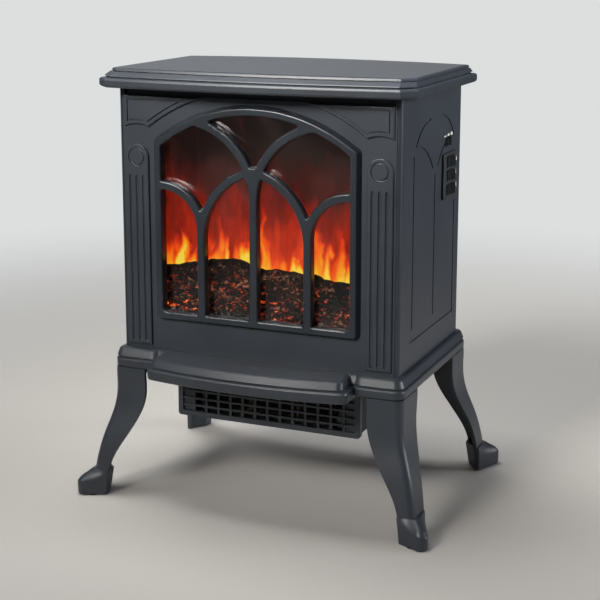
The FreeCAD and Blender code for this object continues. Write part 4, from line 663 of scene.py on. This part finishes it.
def makeCoals(look, bed):
    draw = random.Random(look["seed"])
    reach = bed["half"] - look["margin"]
    shapes = []
    for number in range(look["count"]):
        size = draw.uniform(*look["size"])
        x = draw.uniform(-reach, reach)
        centre = Vector(slopePoint(bed, x, draw.uniform(*look["slope"])))
        shapes.append(makeCoal(look, bed, centre - Vector((0, look["forward"], 0)), size, number))
    return joinShapes("coals", shapes, finishes["log_plastic"])


fireBed = [makeEmberBed(heap), makeTwigs(twigs, bark, heap), makeCoals(coals, heap)]
fireBed += makeBillets(billets, bark, heap)
for piece in fireBed:
    piece.data.polygons.foreach_set("use_smooth", [True] * len(piece.data.polygons))
    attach(piece, "casing")
    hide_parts("log_bed")
print("ember bed, billets and coals are laid")


marks = {  # printed on the right side panel, in mm
    "face": 184.0, "thick": 0.06,
    # the thermostat's scale, bar by bar: place along Y, height, bar's width and bar's height
    "scale": [(50.0, 459.2, 7.0, 2.0), (63.0, 459.7, 8.0, 3.0), (76.0, 460.2, 9.0, 4.0)],
    # beside the switches: a flame, one stroke, two strokes
    "switchY": 98.0, "switchHeights": [426.5, 409.0, 391.5],
    "barWidth": 2.2, "barHeight": 6.0, "barPitch": 4.6, "flameWidth": 6.0, "flameHeight": 8.0,
}


def plate(outline, face, thick):
    count = len(outline)
    points = [(x, y, z) for x in (face, face + thick) for y, z in outline]
    walls = [(i, (i + 1) % count, count + (i + 1) % count, count + i) for i in range(count)]
    return points, [tuple(range(count - 1, -1, -1)), tuple(range(count, 2 * count))] + walls


def barOutline(y, z, width, height):
    return [(y + sy * width / 2, z + sz * height / 2) for sy, sz in ((-1, -1), (1, -1), (1, 1), (-1, 1))]


def flameOutline(y, z, width, height, count=24):
    outline = []
    for i in range(count):
        turn = 2 * math.pi * i / count
        lift = (1 - math.cos(turn)) / 2
        outline.append((y + width / 2 * math.sin(turn) * (1 - lift ** 2), z + height * (lift - 0.5)))
    return outline


def makeMarks(look):
    outlines = [barOutline(*place) for place in look["scale"]]
    flame, *rest = look["switchHeights"]
    outlines.append(flameOutline(look["switchY"], flame, look["flameWidth"], look["flameHeight"]))
    for count, z in enumerate(rest, 1):
        for i in range(count):
            y = look["switchY"] + look["barPitch"] * (i - (count - 1) / 2)
            outlines.append(barOutline(y, z, look["barWidth"], look["barHeight"]))
    shapes = [plate(outline, look["face"], look["thick"]) for outline in outlines]
    piece = joinShapes("printed_marks", shapes, finishes["white_plastic"])
    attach(piece, "casing")


makeMarks(marks)
print("printed marks are on the side panel")
